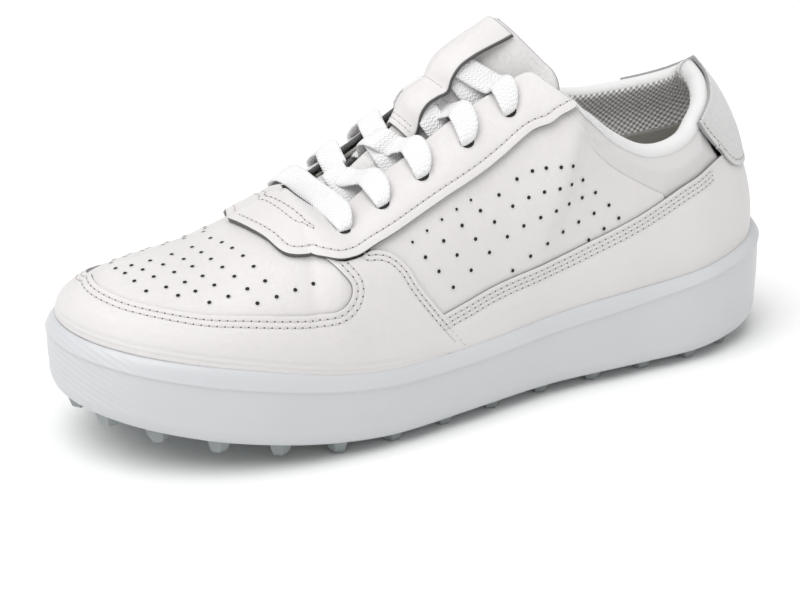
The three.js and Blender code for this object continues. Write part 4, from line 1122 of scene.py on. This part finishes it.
def crossTongue(piece, slot, *nodes):
    if nodes:
        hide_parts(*nodes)
    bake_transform(piece)
    return piece


def makeTongue():
    s = np.linspace(0.0, 1, tongue["along"])
    side = np.linspace(-1, 1, tongue["across"])
    outside = np.clip((np.abs(side) - tongue["cornerFrom"]) / (1 - tongue["cornerFrom"]), 0, 1)
    reach = 1 - tongue["cornerFall"] * outside**2
    share = s[:, None] * reach
    y = side * tongueHalf(share)[..., 0]
    fromTop = (reach - share) * tongue["length"]
    fromSide = (1 - np.abs(side)) * tongueHalf(share)[..., 0] * 1.3
    edge = np.minimum(fromTop, fromSide)
    half = tongue["thickness"] / 2 + 0.5 * np.clip((share - 0.86) / 0.1, 0, 1)
    shape = np.sqrt(np.clip(1 - (1 - np.clip(edge / tongue["edge"], 0, 1))**2, 0, 1))
    front = tonguePoint(share, y, tongue["middle"] + half * shape)
    back = tonguePoint(share, y, tongue["middle"] - half * shape)
    part = shell(front, back, {"cut": np.zeros(y.shape)})
    piece = makeMesh("tongueLeather", [part], [finish["softHide"]])
    crossTongue(piece, "leather", "tongue_lower", "tongue_flap")


def strapPoint(s, y, extra):
    s, y, extra = np.broadcast_arrays(*(np.asarray(k, float) for k in (s, y, extra)))
    middle = tonguePoint(s, 0 * s, 0 * s)
    outward = tonguePoint(s, 0 * s, 0 * s + 1) - middle
    lift = strapLift(s)[..., 0]
    fall = tongueArch(np.abs(y))[..., 0] * (1 - lift * strap["flatten"])
    point = middle + outward * (lift + extra - fall)[..., None]
    point[..., 1] += y
    return point


def lozenge(along, across, length, width):
    return np.clip(1 - (np.abs(along) / length + np.abs(across) / width), 0, 1)


def makeStrap():
    s = np.linspace(strap["start"], strap["end"], strap["along"])
    b = np.linspace(-1, 1, strap["across"])
    y = b * strap["width"] / 2
    grid = s[:, None] + 0 * y
    sides = ((1 - np.abs(b)) * strap["width"] / 2)[None, :]
    ends = np.minimum((s - strap["start"]), (strap["end"] - s))[:, None] * tongue["length"]
    bend = np.clip(strap["roll"] - np.minimum(sides, ends), 0, None)
    soft = strap["roll"] - np.sqrt(strap["roll"]**2 - bend**2)
    marks = [lozenge((grid - at) * tongue["length"], y, strap["markLength"], strap["markWidth"])
             for at in strap["marks"]]
    mark = sum(np.clip(shape * 2.2, 0, 1) for shape in marks)
    front = strapPoint(grid, y, strap["thickness"] - soft - strap["markDepth"] * mark)
    back = strapPoint(grid, y, 0)
    part = shell(front, back, {"cut": np.zeros(grid.shape)})
    crossTongue(makeMesh("keeperStrap", [part], [finish["hide"]]), "leather", "strap_lower", "strap_upper")
    lines = []
    inner = strap["width"] / 2 - strap["stitchInset"]
    for at in strap["stitchedAt"]:
        lines.append(strapPoint(at, np.linspace(-inner, inner, 30), strap["thickness"] - strap["stitchSink"]))
    return lines


# normals along a line on the strap: the guide, made square to the line
def outwardOf(points, guide):
    way = np.gradient(points, axis=0)
    normal = guide - (guide * way).sum(1, keepdims=True) * way / (way * way).sum(1, keepdims=True)
    return normal / np.linalg.norm(normal, axis=1, keepdims=True)


makeTongue()
strapLines = makeStrap()
print("tongue and strap made")


# lace: one flat ribbon over its whole route

laceWork = {
    "width": 9.8, "thickness": 1.6, "over": 2.9, "high": 4.6, "under": 4.6,
    "tongueGap": 1.5, "crossingGap": 1.9,
    "eyelets": [(0.661, 0.757), (0.627, 0.74), (0.594, 0.745), (0.557, 0.78), (0.516, 0.84)],
    "lipAt": 0.99, "landing": 0.09, "inside": 0.88,    # where it crosses the facing's edge, in v
    "flatTo": (-0.86, 0, 0.52), "turnSteps": 7,        # the way its width lies, and how gradually it turns
    "steps": 2200, "around": 14,
}


def tongueShareUnder(point):
    s = np.arange(0.02, 0.99, 0.005)
    here, ahead = tongueLine(s), tongueLine(s + 0.01)
    way = ahead - here
    miss = np.abs((point[0] - here[:, 0]) * way[:, 0] + (point[2] - here[:, 1]) * way[:, 1])
    return s[int(np.argmin(miss))]


def overTongue(start, end, lift):
    stops = []
    for share in (0.15, 0.32, 0.5, 0.68, 0.85):
        straight = start + (end - start) * share
        s = tongueShareUnder(straight)
        lifted = tonguePoint(s, straight[1] + 1, lift)
        outward = tonguePoint(s, 0, 1) - tonguePoint(s, 0, 0)
        stops.append((straight if np.dot(straight - lifted, outward) > 0 else lifted, 1))
    return stops


# stops of one half of the lace from the middle of the first bar, as (point, share of its width)
def laceHalf(first, lift):
    eyelets = laceWork["eyelets"]
    under = laceWork["under"]

    def eye(k, s, depth):
        return below(s * eyelets[k][0], eyelets[k][1], depth)

    def between(k, s, v, depth):
        return below(s * (eyelets[k][0] + eyelets[k + 1][0]) / 2, v, depth)

    def lip(k, s):
        return below(s * eyelets[k][0], laceWork["lipAt"], -laceWork["high"])

    stops = [overTongue(lip(0, 1), lip(0, -1), laceWork["tongueGap"])[2]]
    for k in range(len(eyelets)):
        s = first if k % 2 == 0 else -first
        stops.append((lip(k, s), 1))
        stops.append((below(s * eyelets[k][0], eyelets[k][1] + laceWork["landing"], -laceWork["high"]), 0.95))
        stops.append((eye(k, s, -laceWork["over"]), 0.6))
        stops.append((eye(k, s, 0.6), 0.36))
        stops.append((eye(k, s, under), 0.36))
        if k == len(eyelets) - 1:
            break
        stops.append((between(k, s, laceWork["inside"], under), 0.7))
        edge = between(k, s, 1, under - 0.55)
        stops.append((edge, 0.85))
        stops += overTongue(edge, lip(k + 1, -s), lift)
    u = eyelets[-1][0]
    stops.append((below(s * (u - 0.01), 0.75, under + 1), 0.6))
    stops.append((below(s * (u - 0.02), 0.68, under + 3), 0.35))
    return stops


def makeLace():
    left = laceHalf(1, laceWork["tongueGap"] + laceWork["crossingGap"])
    right = laceHalf(-1, laceWork["tongueGap"])
    stops = left[::-1] + right[1:]
    points = np.array([np.asarray(stop[0], float).reshape(3) for stop in stops])
    knots = np.r_[0, np.cumsum(np.sqrt(np.linalg.norm(np.diff(points, axis=0), axis=1)))]    # centripetal
    curve = spline(np.c_[knots, points])
    widths = spline(np.c_[knots, [stop[1] for stop in stops]])
    t = np.linspace(0, knots[-1], laceWork["steps"] * 3)
    dense = curve(t)
    run = np.r_[0, np.cumsum(np.linalg.norm(np.diff(dense, axis=0), axis=1))]
    t = np.interp(np.linspace(0, run[-1], laceWork["steps"]), run, t)
    centre = curve(t)
    along = np.linspace(0, run[-1], laceWork["steps"])
    tangent = np.gradient(centre, axis=0)
    tangent /= np.linalg.norm(tangent, axis=1, keepdims=True)
    flatTo = np.array(laceWork["flatTo"])
    across = flatTo - tangent * (tangent @ flatTo)[:, None]
    reach = laceWork["turnSteps"]
    smooth = np.ones(2 * reach + 1) / (2 * reach + 1)
    across = np.stack([np.convolve(np.pad(across[:, k], reach, mode="edge"), smooth, "valid")
                       for k in range(3)], -1)
    across -= tangent * (across * tangent).sum(1, keepdims=True)
    across /= np.linalg.norm(across, axis=1, keepdims=True)
    face = np.cross(tangent, across)
    share = np.clip(widths(t)[:, 0], 0.3, 1)
    width = share * laceWork["width"] / 2
    thick = laceWork["thickness"] / 2 * (1 + 0.75 * (1 - share))
    columns, route = [], []
    for i in range(laceWork["around"]):
        a = 2 * math.pi * i / laceWork["around"]
        c, d = math.cos(a), math.sin(a)
        # flat with full edges: a squared ellipse
        wide, high = math.copysign(abs(c)**0.75, c), math.copysign(abs(d)**0.8, d)
        columns.append(centre + across * (width * wide)[:, None] + face * (thick * high)[:, None])
        route.append(np.stack([along, width * wide + 20, 0 * along], -1))
    points = np.stack(columns, 1)
    route = np.stack(route, 1)
    count, around = points.shape[:2]
    faces = []
    for i in range(count - 1):
        for j in range(around):
            k = (j + 1) % around
            faces.append((i * around + j, i * around + k, (i + 1) * around + k, (i + 1) * around + j))
    faces.append(tuple(reversed(range(around))))
    faces.append(tuple((count - 1) * around + j for j in range(around)))
    piece = makeMesh("flatLace", [(points, faces, {"route": route})], [finish["lace"]])
    ride(piece, "lace_cotton", "lace")
    print("lace length mm", round(float(run[-1])))


makeLace()


# thread seams and punched holes

seam = {"pitch": 2.7, "length": 2.15, "thickness": 0.62, "throatDepth": -1.68}


def sewn(name, lines):
    points, normals, edges = [], [], []
    for line, normal in lines:
        start = len(points)
        points += list(line)
        normals += list(normal)
        edges += [(i, i + 1) for i in range(start, len(points) - 1)]
    # the needle finish is dark painted shade for the needle holes
    return runTree(name, "seam", points, edges, {"outward": normals}, {
        "Pitch": seam["pitch"] * mm, "Length": seam["length"] * mm, "Thickness": seam["thickness"] * mm,
        "Thread": finish["thread"], "Needle shade": finish["needleShade"]})


def throatSeams():
    lines = []
    for shift in (0.0, 0.01):
        knots = [(0.720 + shift, 0.99), (0.712 + shift, 0.937), (0.691 + shift, 0.744 - shift * 2),
                 (0.682, 0.70 - shift * 2)]
        path = spline([(i, *knot) for i, knot in enumerate(knots)])(np.linspace(0, 3, 50))
        for side in (1, -1):
            u, v = side * path[:, 0], path[:, 1]
            lines.append((below(u, v, seam["throatDepth"]), surfaceNormal(u, v)))
    return lines


ride(sewn("threadSeams", seamLines + throatSeams()), "leather")
guide = tonguePoint(0.7, 0, 1) - tonguePoint(0.7, 0, 0)
strapSeams = sewn("strapSeams", [(line, outwardOf(line, guide)) for line in strapLines])
crossTongue(strapSeams, "leather")

punched = {
    "radius": 0.74, "lip": 0.14, "eyeletRadius": 2.7, "faintShare": 0.75,
    "eyeletDepth": -1.62, "sideDepth": 0.84, "faintDepth": 0.86, "vampDepth": 1.0,
    # first and last hole of each row, and how many
    "side": [((0.578, 0.355), (0.424, 0.700), 10), ((0.559, 0.290), (0.398, 0.669), 10),
             ((0.537, 0.225), (0.373, 0.635), 10), ((0.461, 0.249), (0.348, 0.584), 7),
             ((0.364, 0.383), (0.329, 0.512), 3)],
    "faint": [((0.595, 0.437), (0.541, 0.518), 5)],
    "vamp": [((0.961, 0.788), (0.806, 0.932), 6), ((0.928, 0.729), (0.791, 0.852), 6),
             ((0.903, 0.646), (0.780, 0.772), 6), ((0.881, 0.549), (0.769, 0.682), 6),
             ((0.842, 0.504), (0.758, 0.582), 5), ((0.805, 0.429), (0.746, 0.468), 4),
             ((0.755, 0.353), (0.692, 0.376), 4)],
}


def punch(name, rows, depth, radius):
    points, normals = [], []
    for side in (1, -1):
        for first, last, count in rows:
            share = np.linspace(0, 1, count)[:, None]
            uv = np.array(first) + (np.array(last) - np.array(first)) * share
            points += list(below(side * uv[:, 0], uv[:, 1], depth))
            normals += list(surfaceNormal(side * uv[:, 0], uv[:, 1]))
    # each hole and eyelet gets a near-black disc of painted shade
    holes = runTree(name, "punch", points, [], {"outward": normals}, {
        "Radius": radius * mm, "Lip": punched["lip"] * mm, "Dark": finish["hole"], "Hide": finish["hide"]})
    ride(holes, "leather")


eyelets = [(eyelet, eyelet, 1) for eyelet in laceWork["eyelets"]]
punch("eyeletPunching", eyelets, punched["eyeletDepth"], punched["eyeletRadius"])
punch("sidePunching", punched["side"], punched["sideDepth"], punched["radius"])
punch("faintPunching", punched["faint"], punched["faintDepth"], punched["radius"] * punched["faintShare"])
punch("vampPunching", punched["vamp"], punched["vampDepth"], punched["radius"])
print("seams and holes made")

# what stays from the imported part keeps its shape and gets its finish

inside = {
    "midsole_foam": "foam", "shank": "steel", "strobel_board": "board",
    "toe_puff": "board", "heel_counter": "board",
    "eyestay_backing_outer": "lining", "eyestay_backing_inner": "lining", "toe_lining": "lining",
    "aglet_outer": "film", "aglet_inner": "film",
}
for name, look in inside.items():
    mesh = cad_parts[name].data
    mesh.materials.clear()
    mesh.materials.append(finish[look])

print("finished")
